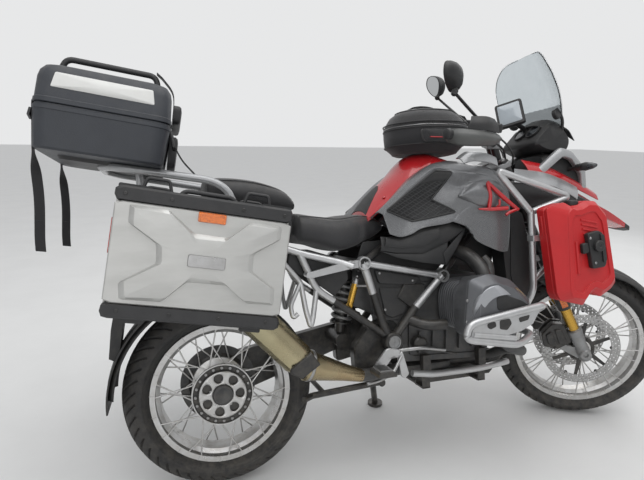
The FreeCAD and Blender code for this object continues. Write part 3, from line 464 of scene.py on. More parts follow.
def finish(name, color, second=None, rough=0.5, spread=0.2, metal=0.0, grain=(900, 0.15), mottle=(12, 0.5), dust=0.15,
           stretch=(1, 1, 1), coat=0.0, sheen=0.0, clear=0.0, ior=1.5, pattern=None):
    """Material from the shared groups; stretch draws its grain out along an axis, pattern adds its own height."""
    material = bpy.data.materials.new(name)
    material.use_nodes = True
    tree = material.node_tree
    shader = tree.nodes["Principled BSDF"]
    where = node(tree, "TexCoord").outputs["Object"]
    drawn = node(tree, "Mapping", [("Vector", where), ("Scale", stretch)]).outputs[0]
    second = second or tuple(0.7 * part for part in color)
    tone = group_node(tree, MOTTLE, [("Vector", drawn), ("Color", (*color, 1)), ("Second", (*second, 1)),
                                     ("Scale", float(mottle[0])), ("Amount", float(mottle[1]))])
    dirt = group_node(tree, DUST, [("Vector", where), ("Color", tone.outputs["Color"]), ("Amount", float(dust))])
    skin = group_node(tree, GRAIN, [("Vector", drawn), ("Scale", float(grain[0])), ("Strength", float(grain[1])),
                                    ("Roughness", float(rough)), ("Spread", float(spread))])
    base, normal = dirt.outputs["Color"], skin.outputs["Normal"]
    if pattern:
        base, normal = pattern(tree, where, base, normal)
    feed(tree, shader, [
        ("Base Color", base), ("Normal", normal), ("Roughness", skin.outputs["Roughness"]), ("Metallic", metal),
        ("Coat Weight", coat), ("Sheen Weight", sheen), ("Transmission Weight", clear), ("IOR", ior),
        ("Coat Roughness", COAT_ROUGHNESS)])
    return material


def raised(tree, height, normal, strength, distance):
    """Bump from a height on top of another normal."""
    return node(tree, "Bump", [("Height", height), ("Normal", normal), ("Strength", strength),
                               ("Distance", distance)]).outputs[0]


def weave(tree, where, base, normal):
    """Cloth: two square waves across each other, as height and as tone."""
    warp = node(tree, "TexWave", [("Vector", where), ("Scale", 320.0), ("Distortion", 0.4)], bands_direction="X")
    weft = node(tree, "TexWave", [("Vector", where), ("Scale", 320.0), ("Distortion", 0.4)], bands_direction="Z")
    thread = node(tree, "Math", [(0, warp.outputs["Fac"]), (1, weft.outputs["Fac"])], operation="MAXIMUM")
    return (mixed(tree, thread.outputs[0], (0.006, 0.006, 0.007, 1), base),
            raised(tree, thread.outputs[0], normal, 0.5, 0.0006))


def leather(tree, where, base, normal):
    """Vinyl: the cells' edges of a fine Voronoi pattern sink into the skin."""
    cells = node(tree, "TexVoronoi", [("Vector", where), ("Scale", 330.0)], feature="DISTANCE_TO_EDGE")
    crease = node(tree, "MapRange", [("Value", cells.outputs["Distance"]), ("From Max", 0.18)])
    return base, raised(tree, crease.outputs[0], normal, 0.35, 0.0006)


def flakes(tree, where, base, normal):
    """Metallic paint: tiny cells each a little lighter or darker."""
    cells = node(tree, "TexVoronoi", [("Vector", where), ("Scale", 2600.0)])
    lift = node(tree, "SeparateColor", [(0, cells.outputs["Color"])])
    amount = node(tree, "MapRange", [("Value", lift.outputs[0]), ("From Min", 0.55), ("To Max", 0.35)])
    return mixed(tree, amount.outputs[0], base, (0.75, 0.76, 0.78, 1)), normal


def combs(tree, where, base, normal):
    """Reflector: a honeycomb of small prisms."""
    cells = node(tree, "TexVoronoi", [("Vector", where), ("Scale", 260.0)], feature="DISTANCE_TO_EDGE")
    edge = node(tree, "MapRange", [("Value", cells.outputs["Distance"]), ("From Max", 0.12)])
    return (mixed(tree, edge.outputs[0], (0.25, 0.03, 0.0, 1), base), raised(tree, cells.outputs["Distance"], normal,
                                                                             0.6, 0.001))


def heat_tint(tree, where, base, normal):
    """Titanium: straw and bronze drift along the pipe by noise and by distance from its front end."""
    spot = node(tree, "SeparateXYZ", [(0, where)])
    along = node(tree, "MapRange", [("Value", spot.outputs["X"]), ("From Min", -0.60), ("From Max", -0.20)])
    noise = node(tree, "TexNoise", [("Vector", where), ("Scale", 9.0), ("Detail", 4.0)])
    both = node(tree, "Math", [(0, along.outputs[0]), (1, noise.outputs["Fac"])], operation="MULTIPLY")
    return mixed(tree, both.outputs[0], base, (0.30, 0.16, 0.07, 1)), normal


def lattice(tree, where, base, normal):
    """Grille: two families of slanted bars, with painted shade between them for the shadow in the openings."""
    spot = node(tree, "SeparateXYZ", [(0, where)])
    bars = []
    for sign in (1, -1):
        lean = node(tree, "Math", [(0, spot.outputs["X"]), (1, 0.55 * sign), (2, spot.outputs["Z"])],
                    operation="MULTIPLY_ADD")
        count = node(tree, "Math", [(0, lean.outputs[0]), (1, 90.0 if sign > 0 else 60.0)], operation="MULTIPLY")
        part = node(tree, "Math", [(0, count.outputs[0])], operation="FRACT")
        away = node(tree, "Math", [(0, part.outputs[0]), (1, 0.5)], operation="SUBTRACT")
        bars.append(node(tree, "Math", [(0, away.outputs[0])], operation="ABSOLUTE").outputs[0])
    near = node(tree, "Math", [(0, bars[0]), (1, bars[1])], operation="MINIMUM")
    bar = node(tree, "MapRange", [("Value", near.outputs[0]), ("From Min", 0.13), ("From Max", 0.07)])
    # Near-black painted shade in the gaps between the bars.
    return (mixed(tree, bar.outputs[0], (0.003, 0.003, 0.0035, 1), base),
            raised(tree, bar.outputs[0], normal, 0.8, 0.004))


RED = finish("red_paint", (0.47, 0.008, 0.013), (0.36, 0.005, 0.009), rough=0.28, spread=0.1, grain=(500, 0.03),
             mottle=(3, 0.4), dust=0.1, coat=0.7)
GREY = finish("grey_paint", (0.115, 0.118, 0.122), (0.085, 0.087, 0.092), rough=0.38, spread=0.12, metal=0.45,
              grain=(700, 0.05), mottle=(4, 0.5), dust=0.1, coat=0.45, pattern=flakes)
PALE = finish("pale_paint", (0.34, 0.345, 0.35), (0.27, 0.275, 0.28), rough=0.34, spread=0.12, metal=0.4,
              grain=(700, 0.05), dust=0.1, coat=0.4, pattern=flakes)
SILVER = finish("silver_tube", (0.55, 0.555, 0.56), (0.44, 0.44, 0.445), rough=0.34, spread=0.2, metal=0.75,
                grain=(420, 0.10), mottle=(25, 0.5), dust=0.3)
WHEEL = finish("wheel_metal", (0.60, 0.60, 0.60), (0.46, 0.455, 0.44), rough=0.3, spread=0.25, metal=0.85,
               grain=(300, 0.08), mottle=(30, 0.5), dust=0.5)
CASTING = finish("cast_metal", (0.30, 0.305, 0.31), (0.21, 0.212, 0.215), rough=0.5, spread=0.25, metal=0.7,
                 grain=(750, 0.4), mottle=(30, 0.6), dust=0.35)
DARK_CASTING = finish("dark_casting", (0.075, 0.077, 0.08), (0.05, 0.05, 0.052), rough=0.48, spread=0.2, metal=0.5,
                      grain=(750, 0.35), mottle=(30, 0.6), dust=0.3)
BLACK = finish("black_plastic", (0.016, 0.0165, 0.0175), (0.024, 0.024, 0.025), rough=0.52, spread=0.2,
               grain=(650, 0.35), mottle=(18, 0.7), dust=0.16)
BLACK_METAL = finish("black_metal", (0.017, 0.017, 0.018), (0.028, 0.028, 0.028), rough=0.4, spread=0.25, metal=0.2,
                     grain=(500, 0.15), mottle=(25, 0.6), dust=0.3, coat=0.2)
RUBBER = finish("tyre_rubber", (0.017, 0.017, 0.018), (0.026, 0.026, 0.026), rough=0.68, spread=0.2, grain=(380, 0.3),
                mottle=(30, 0.8), dust=0.18)
SEAT = finish("seat_vinyl", (0.020, 0.020, 0.022), (0.028, 0.028, 0.030), rough=0.55, spread=0.2, grain=(200, 0.05),
              mottle=(9, 0.5), dust=0.22, sheen=0.15, pattern=leather)
CLOTH = finish("bag_cloth", (0.018, 0.018, 0.02), (0.027, 0.027, 0.03), rough=0.8, spread=0.1, grain=(300, 0.1),
               mottle=(14, 0.6), dust=0.2, sheen=0.3, pattern=weave)
CASE_DARK = finish("case_plastic", (0.030, 0.034, 0.042), (0.042, 0.047, 0.056), rough=0.5, spread=0.2,
                   grain=(420, 0.5), mottle=(14, 0.6), dust=0.25)
CASE_METAL = finish("case_metal", (0.50, 0.50, 0.485), (0.40, 0.40, 0.385), rough=0.42, spread=0.15, metal=0.55,
                    grain=(500, 0.12), mottle=(26, 0.5), dust=0.25, stretch=(0.25, 1, 1))
EXHAUST = finish("exhaust_metal", (0.46, 0.42, 0.27), (0.33, 0.30, 0.19), rough=0.26, spread=0.2, metal=0.95,
                 grain=(600, 0.15), mottle=(12, 0.6), dust=0.12, pattern=heat_tint)
STEEL = finish("disc_steel", (0.42, 0.42, 0.42), (0.30, 0.295, 0.29), rough=0.3, spread=0.2, metal=0.9,
               grain=(900, 0.2), mottle=(40, 0.5), dust=0.2)
GOLD = finish("gold_coat", (0.62, 0.37, 0.07), (0.52, 0.30, 0.05), rough=0.26, spread=0.1, metal=0.85,
              grain=(500, 0.03), dust=0.1)
CAN_RED = finish("can_plastic", (0.50, 0.013, 0.016), (0.40, 0.010, 0.013), rough=0.42, spread=0.12, grain=(260, 0.25),
                 mottle=(7, 0.5), dust=0.12)
ORANGE = finish("orange_lens", (0.85, 0.20, 0.01), (0.70, 0.14, 0.01), rough=0.2, spread=0.1, grain=(200, 0.02),
                dust=0.05, coat=0.6, pattern=combs)
RED_LENS = finish("red_lens", (0.55, 0.01, 0.01), (0.40, 0.01, 0.01), rough=0.18, spread=0.1, grain=(200, 0.02),
                  dust=0.05, coat=0.6, pattern=combs)
WHITE = finish("white_band", (0.72, 0.72, 0.70), (0.62, 0.62, 0.60), rough=0.5, spread=0.15, grain=(300, 0.08),
               mottle=(10, 0.5), dust=0.12)
SCREEN = finish("smoked_screen", (0.55, 0.57, 0.58), (0.50, 0.52, 0.53), rough=0.06, spread=0.03, grain=(40, 0.01),
                dust=0.0, clear=0.92, ior=1.45)
LENS = finish("clear_lens", (0.85, 0.86, 0.87), (0.8, 0.81, 0.82), rough=0.05, spread=0.03, grain=(40, 0.01), dust=0.0,
              clear=0.9, ior=1.45)
GLASS = finish("mirror_glass", (0.75, 0.77, 0.78), (0.7, 0.72, 0.73), rough=0.04, spread=0.02, metal=1.0,
               grain=(40, 0.005), mottle=(5, 0.2), dust=0.02)
DISPLAY = finish("dark_display", (0.012, 0.014, 0.018), (0.02, 0.022, 0.026), rough=0.12, spread=0.05, grain=(40, 0.01),
                 mottle=(6, 0.3), dust=0.04, coat=0.6)
# Black grille whose lattice paints shade into the gaps between its bars.
LATTICE = finish("lattice_black", (0.030, 0.031, 0.033), (0.04, 0.04, 0.042), rough=0.45, spread=0.15, grain=(400, 0.2),
                 dust=0.1, pattern=lattice)
BARREL = finish("cylinder_metal", (0.17, 0.175, 0.185), (0.115, 0.118, 0.125), rough=0.42, spread=0.2, metal=0.6,
                grain=(650, 0.3), mottle=(22, 0.6), dust=0.2)
HEAD_GREY = finish("head_cover_metal", (0.145, 0.15, 0.16), (0.11, 0.113, 0.12), rough=0.42, spread=0.2, metal=0.55,
                   grain=(500, 0.2), mottle=(16, 0.5), dust=0.15)
# Lighter silver band metal: along each head cover's arc it is a painted highlight; it also rims the black pads.
HEAD_HIGHLIGHT_SILVER = finish("head_highlight_band_metal", (0.40, 0.41, 0.43), (0.33, 0.34, 0.36), rough=0.35, spread=0.15, metal=0.6,
                     grain=(500, 0.12), mottle=(16, 0.5), dust=0.12)
CASE_BLACK = finish("case_black", (0.019, 0.0195, 0.021), (0.028, 0.028, 0.03), rough=0.5, spread=0.2,
                    grain=(520, 0.3), mottle=(18, 0.6), dust=0.16)
SMOKED = finish("smoked_glass", (0.27, 0.29, 0.30), (0.24, 0.26, 0.27), rough=0.03, spread=0.02, grain=(40, 0.01),
                dust=0.0, clear=0.97, ior=1.15)
NAV_SCREEN = finish("navigator_glass", (0.36, 0.40, 0.43), (0.28, 0.31, 0.34), rough=0.15, spread=0.05,
                    grain=(40, 0.01), mottle=(6, 0.6), dust=0.04, coat=0.5)
GUARD_GREY = finish("guard_grey", (0.10, 0.103, 0.10), (0.075, 0.077, 0.075), rough=0.45, spread=0.15, metal=0.2,
                    grain=(500, 0.15), mottle=(12, 0.5), dust=0.15)

NODE_FINISHES = (
    # finish, CAD nodes that wear it until a piece stands for them
    (SILVER, ("main_frame", "rear_subframe", "upper_guard_right", "upper_guard_left", "cylinder_guard_right",
              "cylinder_guard_left", "skid_plate", "luggage_rack")),
    (WHEEL, ("front_rim", "rear_rim")),
    (STEEL, ("front_disc_right", "front_disc_left")),
    (DARK_CASTING, ("rear_disc",)),
    (DARK_CASTING, ("engine_block", "cylinder_right", "cylinder_left")),
    (CASTING, ("fork", "footpeg_right", "footpeg_left")),
    (BLACK_METAL, ("swingarm", "handlebar", "front_link", "side_stand", "centre_stand", "rear_shock")),
    (EXHAUST, ("exhaust",)),
    (RUBBER, ("front_tyre", "rear_tyre")),
    (RED, ("tank", "beak")),
    (GREY, ("tank_side_right", "tank_side_left", "fairing_side_right", "fairing_side_left")),
    (SEAT, ("seat_rider", "seat_pillion")),
    (CLOTH, ("tank_bag", "strap_rear_right", "strap_rear_left")),
    (CAN_RED, ("fuel_can",)),
    (CASE_DARK, ("top_case_body", "top_case_lid")),
    (CASE_METAL, ("pannier_body_right", "pannier_body_left", "pannier_lid_right", "pannier_lid_left")),
    (LENS, ("headlight",)),
    (SCREEN, ("windshield",)),
    (BLACK, ("side_cover_right", "side_cover_left", "tail_unit", "rear_fender", "front_fender", "cockpit",
             "radiator_right", "radiator_left", "mirror_right", "mirror_left")),
)
for material, names in NODE_FINISHES:
    for name in names:
        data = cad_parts[name].data
        data.materials.clear()
        data.materials.append(material)
        data.shade_smooth()


# Wheels


def tyre(name, cad_node, body, where, radius, half, crown, rim, bead, pitch):
    """Tyre: a profile from bead to bead turned round the axle, sunk by the tread's grooves.

    A groove is where the arc length round the tyre, slanted by the distance across, comes near a whole pitch; its
    depth falls off in a straight line with the distance from the groove's middle.
    """
    centre = radius - crown
    edge = 0.93 * half
    shoulder = centre + math.sqrt(crown ** 2 - edge ** 2)
    wall = spline([(bead, rim - 9), (bead + 2, rim + 2), (edge - 1, rim + 15), (half, (rim + 14 + shoulder) / 2),
                   (edge, shoulder)], 5)
    sweep = np.linspace(math.asin(edge / crown), -math.asin(edge / crown), 44)[1:-1]
    top = np.stack([crown * np.sin(sweep), centre + crown * np.cos(sweep)], 1)
    profile = np.vstack([wall, top, wall[::-1] * (-1, 1)])
    no_tread, middle_band, thin_groove, groove_depth = 200, 12, 3.2, 6.5
    across = np.concatenate([np.full(len(wall), 1e3), crown * sweep, np.full(len(wall), 1e3)])
    around = np.linspace(0, 2 * math.pi, 900, endpoint=False)
    whole = round(2 * math.pi * radius / pitch)
    turn, reach = np.meshgrid(around * whole / (2 * math.pi), across, indexing="ij")
    wide = np.abs(reach)
    slant = turn + 0.020 * wide + 0.25 * np.sign(reach) * (wide > middle_band)
    slot = np.abs(slant - np.round(slant)) * pitch
    rib = np.abs(wide - 30 - 5 * np.abs(2 * (slant - np.floor(slant)) - 1))
    step = np.abs(turn + 0.5 - np.round(turn + 0.5)) * pitch
    depth = np.maximum(np.clip(1 - slot / 4.2, 0, 1) * (wide > middle_band + 2), np.clip(1 - rib / thin_groove, 0, 1))
    depth = np.maximum(depth, np.clip(1 - step / thin_groove, 0, 1) * (wide < middle_band))
    depth = np.minimum(depth * 2.2, 1) * groove_depth * (wide < no_tread)
    radii = profile[:, 1] - depth * np.cos(np.clip(reach, -150, 150) / crown)
    sideways = profile[:, 0] - depth * np.sin(np.clip(reach, -150, 150) / crown)
    points = np.stack([radii * np.cos(around)[:, None], sideways, radii * np.sin(around)[:, None]], -1)
    lining = [(bead - 4, rim - 9), (bead - 6, rim + 6), (0.6 * half, centre + 0.7 * crown)]
    inner = lathe(lining + [(-y, r) for y, r in reversed(lining)], 60)
    rings = [lathe([(side * (half - 4), r - 1.4), (side * (half - 0.8), r), (side * (half - 4), r + 1.4)], 120)
             for side in BOTH for r in (rim + 22, rim + 27)]
    piece(name, [grid(points, loop_rows=True), inner] + rings, RUBBER, body, where, (cad_node,), sharp=40)


tyre("rear_tyre_tread", "rear_tyre", "rear_wheel", REAR_WHEEL, 318, 85, 92, 231, 58.8, 44)
tyre("front_tyre_tread", "front_tyre", "front_wheel", FRONT_WHEEL, 325, 60, 64, 256.5, 40.8, 40)


def spots_round(radius, count, across, start=0.0):
    """Points on a circle about the axle."""
    angle = np.linspace(0, 2 * math.pi, count, endpoint=False) + start
    return np.stack([radius * np.cos(angle), np.full(count, across), radius * np.sin(angle)], 1)


def wheel_details():
    """Hub faces, caps, bolts, nipples and drilled discs."""
    piece("rear_hub_ring", [lathe([(-76, 77), (-79.5, 78), (-80, 82), (-78, 83.5), (-78, 94.5), (-80.5, 96),
                                   (-80.5, 99.5), (-76, 100.5)], 96)], BLACK_METAL, "rear_wheel", REAR_WHEEL, wall=1.5)
    piece("rear_hub_edge", [lathe([(-80.2, 96.5), (-82, 97.5), (-82, 101), (-76, 102)], 96)], WHEEL, "rear_wheel",
          REAR_WHEEL, wall=1)
    plate = perforated(34, 78, 7, 1, 15.5, steps=6)
    piece("rear_hub_star", [(plate[0] + (0, -82.5, 0), plate[1])], WHEEL, "rear_wheel", REAR_WHEEL, wall=-3)
    piece("rear_hub_well", [lathe([(-78.6, 26), (-78.6, 79)], 64)], BLACK_METAL, "rear_wheel", REAR_WHEEL)
    piece("rear_hub_bolts", [bolts(spots_round(88.5, 20, -78), (0, -1, 0), 5, 5),
                             bolts(spots_round(41, 5, -79, 0.31), (0, -1, 0), 5.5, 5)], STEEL, "rear_wheel",
          REAR_WHEEL)
    piece("rear_hub_cap", [lathe([(-78, 35), (-84, 34), (-90, 31), (-92, 24), (-88, 14), (-87, 0)], 40)], DARK_CASTING,
          "rear_wheel", REAR_WHEEL)
    for name, where, half, radius, count in (("rear", REAR_WHEEL, 64, 231, 20), ("front", FRONT_WHEEL, 46, 256.5, 20)):
        nipples = []
        for side in BOTH:
            for spot in spots_round(radius - 8, count, side * (half - 3), 0.08 * side):
                outward = spot * (1, 0, 1)
                nipples.append(turned([(-9, 0), (-9, 3.2), (9, 3.4), (10.5, 0)], 8, spot, outward))
        piece(name + "_nipples", nipples, STEEL, name + "_wheel", where)
    for side, label in SIDES:
        ring = perforated(118, 152.5, 40, 3, 3.6, steps=3)
        arms = []
        for turn in range(6):
            arm = slab([(-9, 46), (9, 46), (15, 122), (3, 122)], 72, 76, 1, side)
            angle = turn_about((0, 1, 0), 60 * turn)
            arms.append((arm[0] @ angle.T, arm[1]))
        piece("front_disc_face_" + label, [(ring[0] + (0, side * 76.4, 0), ring[1])], STEEL, "front_wheel",
              FRONT_WHEEL, ("front_disc_" + label,), wall=-4.8 * side if side < 0 else 4.8)
        piece("front_disc_carrier_" + label,
              arms + [lathe([(side * 71.6, 38.4), (side * 71.6, 54), (side * 76.4, 54), (side * 76.4, 38.4)], 48, True),
                      bolts(spots_round(119, 6, side * 76.4, 0.09), (0, side, 0), 7, 2.5),
                      bolts(spots_round(46, 6, side * 76.4), (0, side, 0), 5, 4)], BLACK_METAL, "front_wheel",
              FRONT_WHEEL)


wheel_details()


# Fork and brakes


FORK_REACH, AXLE_HEIGHT = 50, 336.2


def fork_pieces():
    """Legs as turned and lofted tubes along the steering axis, with calipers, yokes and clamps."""
    def leg(profile, y, x=FORK_REACH):
        """Solid of revolution for (height, radius) in the profile, upright at (x, y)."""
        points, quads = lathe(profile, 32)
        return points @ np.array([[1, 0, 0], [0, 0, 1], [0, -1, 0]]) + (x, y, 0), quads

    castings, golds, blacks, lamps, bits = [], [], [], [], []
    for side in BOTH:
        y = side * 108
        castings.append(leg([(304, 0), (304, 20), (312, 25), (352, 27), (372, 24), (420, 27), (438, 30), (446, 30),
                             (450, 21)], y))
        castings.append(slab([(58, 352), (58, 318), (20, 322), (-30, 388), (-52, 470), (-38, 474), (-8, 400),
                              (26, 372)], 100, 112, 2, side))
        golds.append(leg([(446, 20.4), (560, 20.4)], y))
        blacks.append(leg([(812, 20.5), (1202, 20.5), (1204, 0)], y))
        blacks.append(leg([(548, 20.5), (548, 25), (556, 26.5), (600, 26.5), (606, 25), (790, 25), (806, 25),
                           (812, 20.5)], y))
        lamps.append(slab([(38, 562), (62, 562), (62, 612), (38, 612)], 133, 137, 1.5, side))
        body = rounded([(24, 398), (24, 484), (-18, 506), (-74, 478), (-84, 424), (-42, 390)], 9, 4, True)
        blacks.append(slab(body, 84, 116, 4, side))
        blacks.append(slab(body * (0.98, 1), 56, 70, 3, side))
        blacks.append(soft_slab([(6, 404), (4, 470), (-20, 480), (-26, 408)], 6, 4, 114, 122, 3, side))
        blacks.append(soft_slab([(-34, 404), (-34, 478), (-60, 470), (-64, 426)], 6, 4, 114, 122, 3, side))
        bits.append(bolts([(34, side * 112, 412), (34, side * 112, 462), (-46, side * 118, 398)], (0, side, 0), 6, 7))
        castings.append(turned([(0, 0), (0, 22), (14, 22), (18, 18), (18, 10), (10, 8), (10, 0)], 28,
                               (FORK_REACH, side * 120, AXLE_HEIGHT), (0, side, 0)))
    yoke = rounded([(-26, -108), (30, -134), (76, -124), (72, -60), (56, 0), (72, 60), (76, 124), (30, 134),
                    (-26, 108), (-34, 0)], 14, 5, True)
    for low, high in ((1172, 1194), (780, 806)):
        points, quads = slab(yoke if low > 1000 else yoke * (0.94, 0.96), low, high, 3)
        castings.append((points[:, [0, 2, 1]], quads))
    castings.append(leg([(728, 0), (728, 22), (790, 22), (790, 0)], 0, 0))
    blacks.append(leg([(1040, 0), (1040, 17.4), (1184, 17.4), (1198, 15), (1200, 0)], 0, 0))
    for side in BOTH:
        blacks.append(pipe([(42, side * 50, 1190), (50, side * 50, 1254)], 32))
        bits.append(bolts([(50, side * 108, 1203)], (0, 0, 1), 13, 6))
    piece("fork_castings", castings, CASTING, "steering", FORK, ("fork",))
    piece("fork_tubes", golds, GOLD, "steering", FORK)
    piece("fork_black_parts", blacks, BLACK_METAL, "steering", FORK)
    piece("fork_reflectors", lamps, ORANGE, "steering", FORK)
    piece("fork_bolts", bits, STEEL, "steering", FORK)

    angle, wide = np.meshgrid(np.radians(np.linspace(8, 158, 46)), np.linspace(-1, 1, 25), indexing="ij")
    half = 73 - 12 * np.clip((angle - 2.2) / 0.6, 0, 1)
    radius = 348.5 - 20 * np.abs(wide) ** 3.2 - 3 * (np.abs(np.abs(wide) - 0.45) < 0.06)
    shell = np.stack([FORK_REACH + radius * np.cos(angle), half * wide, AXLE_HEIGHT + radius * np.sin(angle)], -1)
    piece("front_fender_shell", [grid(shell)], BLACK, "steering", FORK, ("front_fender",), wall=3, sharp=50)
    stays = [slab([(20, 655), (80, 655), (96, 682), (4, 682)], 62, 84, 2, side) for side in BOTH]
    piece("front_fender_stays", stays, BLACK_METAL, "steering", FORK)


fork_pieces()


# Bodywork


DECIMETRE, STIFFNESS = 100, 0.02


class Flank:
    """Sideways distance of the bodywork at (x, z): a thin-plate spline, r^2 log r summed over its control points,
    with r in decimetres so that the system stays well scaled."""

    def __init__(self, table):
        table = np.asarray(table, float)
        self.spots = table[:, :2] / DECIMETRE
        gaps = np.linalg.norm(self.spots[:, None] - self.spots[None], axis=-1)
        count = len(table)
        plane = np.hstack([np.ones((count, 1)), self.spots])
        system = np.block([[self.kernel(gaps) + STIFFNESS * np.eye(count), plane], [plane.T, np.zeros((3, 3))]])
        self.weights = np.linalg.solve(system, np.concatenate([table[:, 2], np.zeros(3)]))

    @staticmethod
    def kernel(gap):
        """r^2 log r."""
        return gap ** 2 * np.log(np.maximum(gap, 1e-6))

    def __call__(self, x, z):
        flat = np.stack([np.ravel(x), np.ravel(z)], 1) / DECIMETRE
        gaps = np.linalg.norm(flat[:, None] - self.spots[None], axis=-1)
        value = self.kernel(gaps) @ self.weights[:-3] + self.weights[-3] + flat @ self.weights[-2:]
        return value.reshape(np.shape(x))


FLANK = Flank([
    # x, z, distance from the middle
    (546, 893, 196), (610, 950, 200), (668, 1000, 202), (735, 1045, 203), (806, 1040, 204), (880, 1030, 206),
    (945, 1020, 214), (1030, 985, 212), (1036, 893, 222), (1018, 745, 224), (987, 745, 232), (930, 770, 240),
    (875, 793, 240), (856, 837, 240), (787, 861, 240), (681, 844, 228), (644, 824, 212), (606, 815, 202),
    (569, 826, 196), (648, 867, 208), (556, 906, 200), (722, 939, 206), (760, 1000, 207), (812, 960, 240),
    (880, 1000, 240), (943, 1000, 232), (880, 920, 249), (950, 900, 247), (960, 830, 247), (802, 894, 228),
])


def patch(upper, lower, rows=10, columns=40, lift=0.0, crown=0.0, smooth=True):
    """Panel between two chains of (x, z): even steps along both, a straight run from one to the other, and the
    sideways distance read from the flank's field, with a sine-shaped crown added across it."""
    reach = 8 if smooth else 1
    chains = [resampled(spline(chain, reach) if smooth else chain, columns) for chain in (upper, lower)]
    t = np.linspace(0, 1, rows)[:, None, None]
    flat = chains[0][None] * (1 - t) + chains[1][None] * t
    rise = crown * np.sin(math.pi * t[..., 0]) * np.ones(flat.shape[:2])
    sideways = FLANK(flat[..., 0], flat[..., 1])
    return grid(np.stack([flat[..., 0], sideways + lift + rise, flat[..., 1]], -1))


def skin(chains, count=4, columns=40, smooth=True):
    """Sheet through chains of points: each read at even steps, with Catmull-Rom blends from one to the next."""
    lines = [resampled(spline(chain, 8) if smooth else chain, columns) for chain in chains]
    return grid(spline(np.stack(lines), count))


RIDGE = np.array([
    # x, height of the middle, height of the edge, half width
    (530, 905, 882, 100), (548, 932, 896, 108), (571, 960, 914, 110), (613, 1000, 950, 111), (668, 1048, 1006, 112),
    (700, 1084, 1030, 112), (734, 1110, 1050, 112), (777, 1121, 1072, 112), (820, 1118, 1080, 112),
    (912, 1080, 1066, 110), (986, 1038, 1030, 100)], float)


def tank_top(x, y):
    """Height of the tank: ridge less its fall to the edge times (|y| / half)^2.2."""
    ridge, edge, half = (np.interp(x, RIDGE[:, 0], RIDGE[:, column]) for column in (1, 2, 3))
    return ridge - (ridge - edge) * np.minimum(np.abs(y) / half, 1) ** 2.2


def tank():
    """Red tank as a loft of arches, with the black cover over its tail and two plugs beside it."""
    arches = []
    for x, _, edge, half in RIDGE:
        y = half * np.linspace(-1, 1, 31)
        low = min(edge - 12, 900)
        foot = np.array([[x, half * 0.97, low], [x, 0, low - 2], [x, -half * 0.97, low]])
        arches.append(np.vstack([np.stack([np.full(len(y), x), y, tank_top(x, y)], 1), foot]))
    piece("tank_cover", [loft(arches, 6, columns=72)], RED, replaces=("tank",), sharp=50)
    x, t = np.meshgrid(np.linspace(531, 612, 20), np.linspace(-1, 1, 21), indexing="ij")
    y = t * np.interp(x, [531, 560, 600, 612], [78, 62, 34, 12])
    piece("tank_tail_cover", [grid(np.stack([x, y, tank_top(x, y) + 4 - 2.5 * t ** 4], -1))], BLACK, wall=6,
          bevel=1)
    knobs = [turned([(0, 0), (0, 6), (3, 6), (5, 3.5), (5.5, 0)], 16, (598, side * 92, tank_top(598, 92) + 1),
                    (-0.5, side * 0.5, 0.8)) for side in BOTH]
    piece("tank_plugs", knobs, RED)


tank()


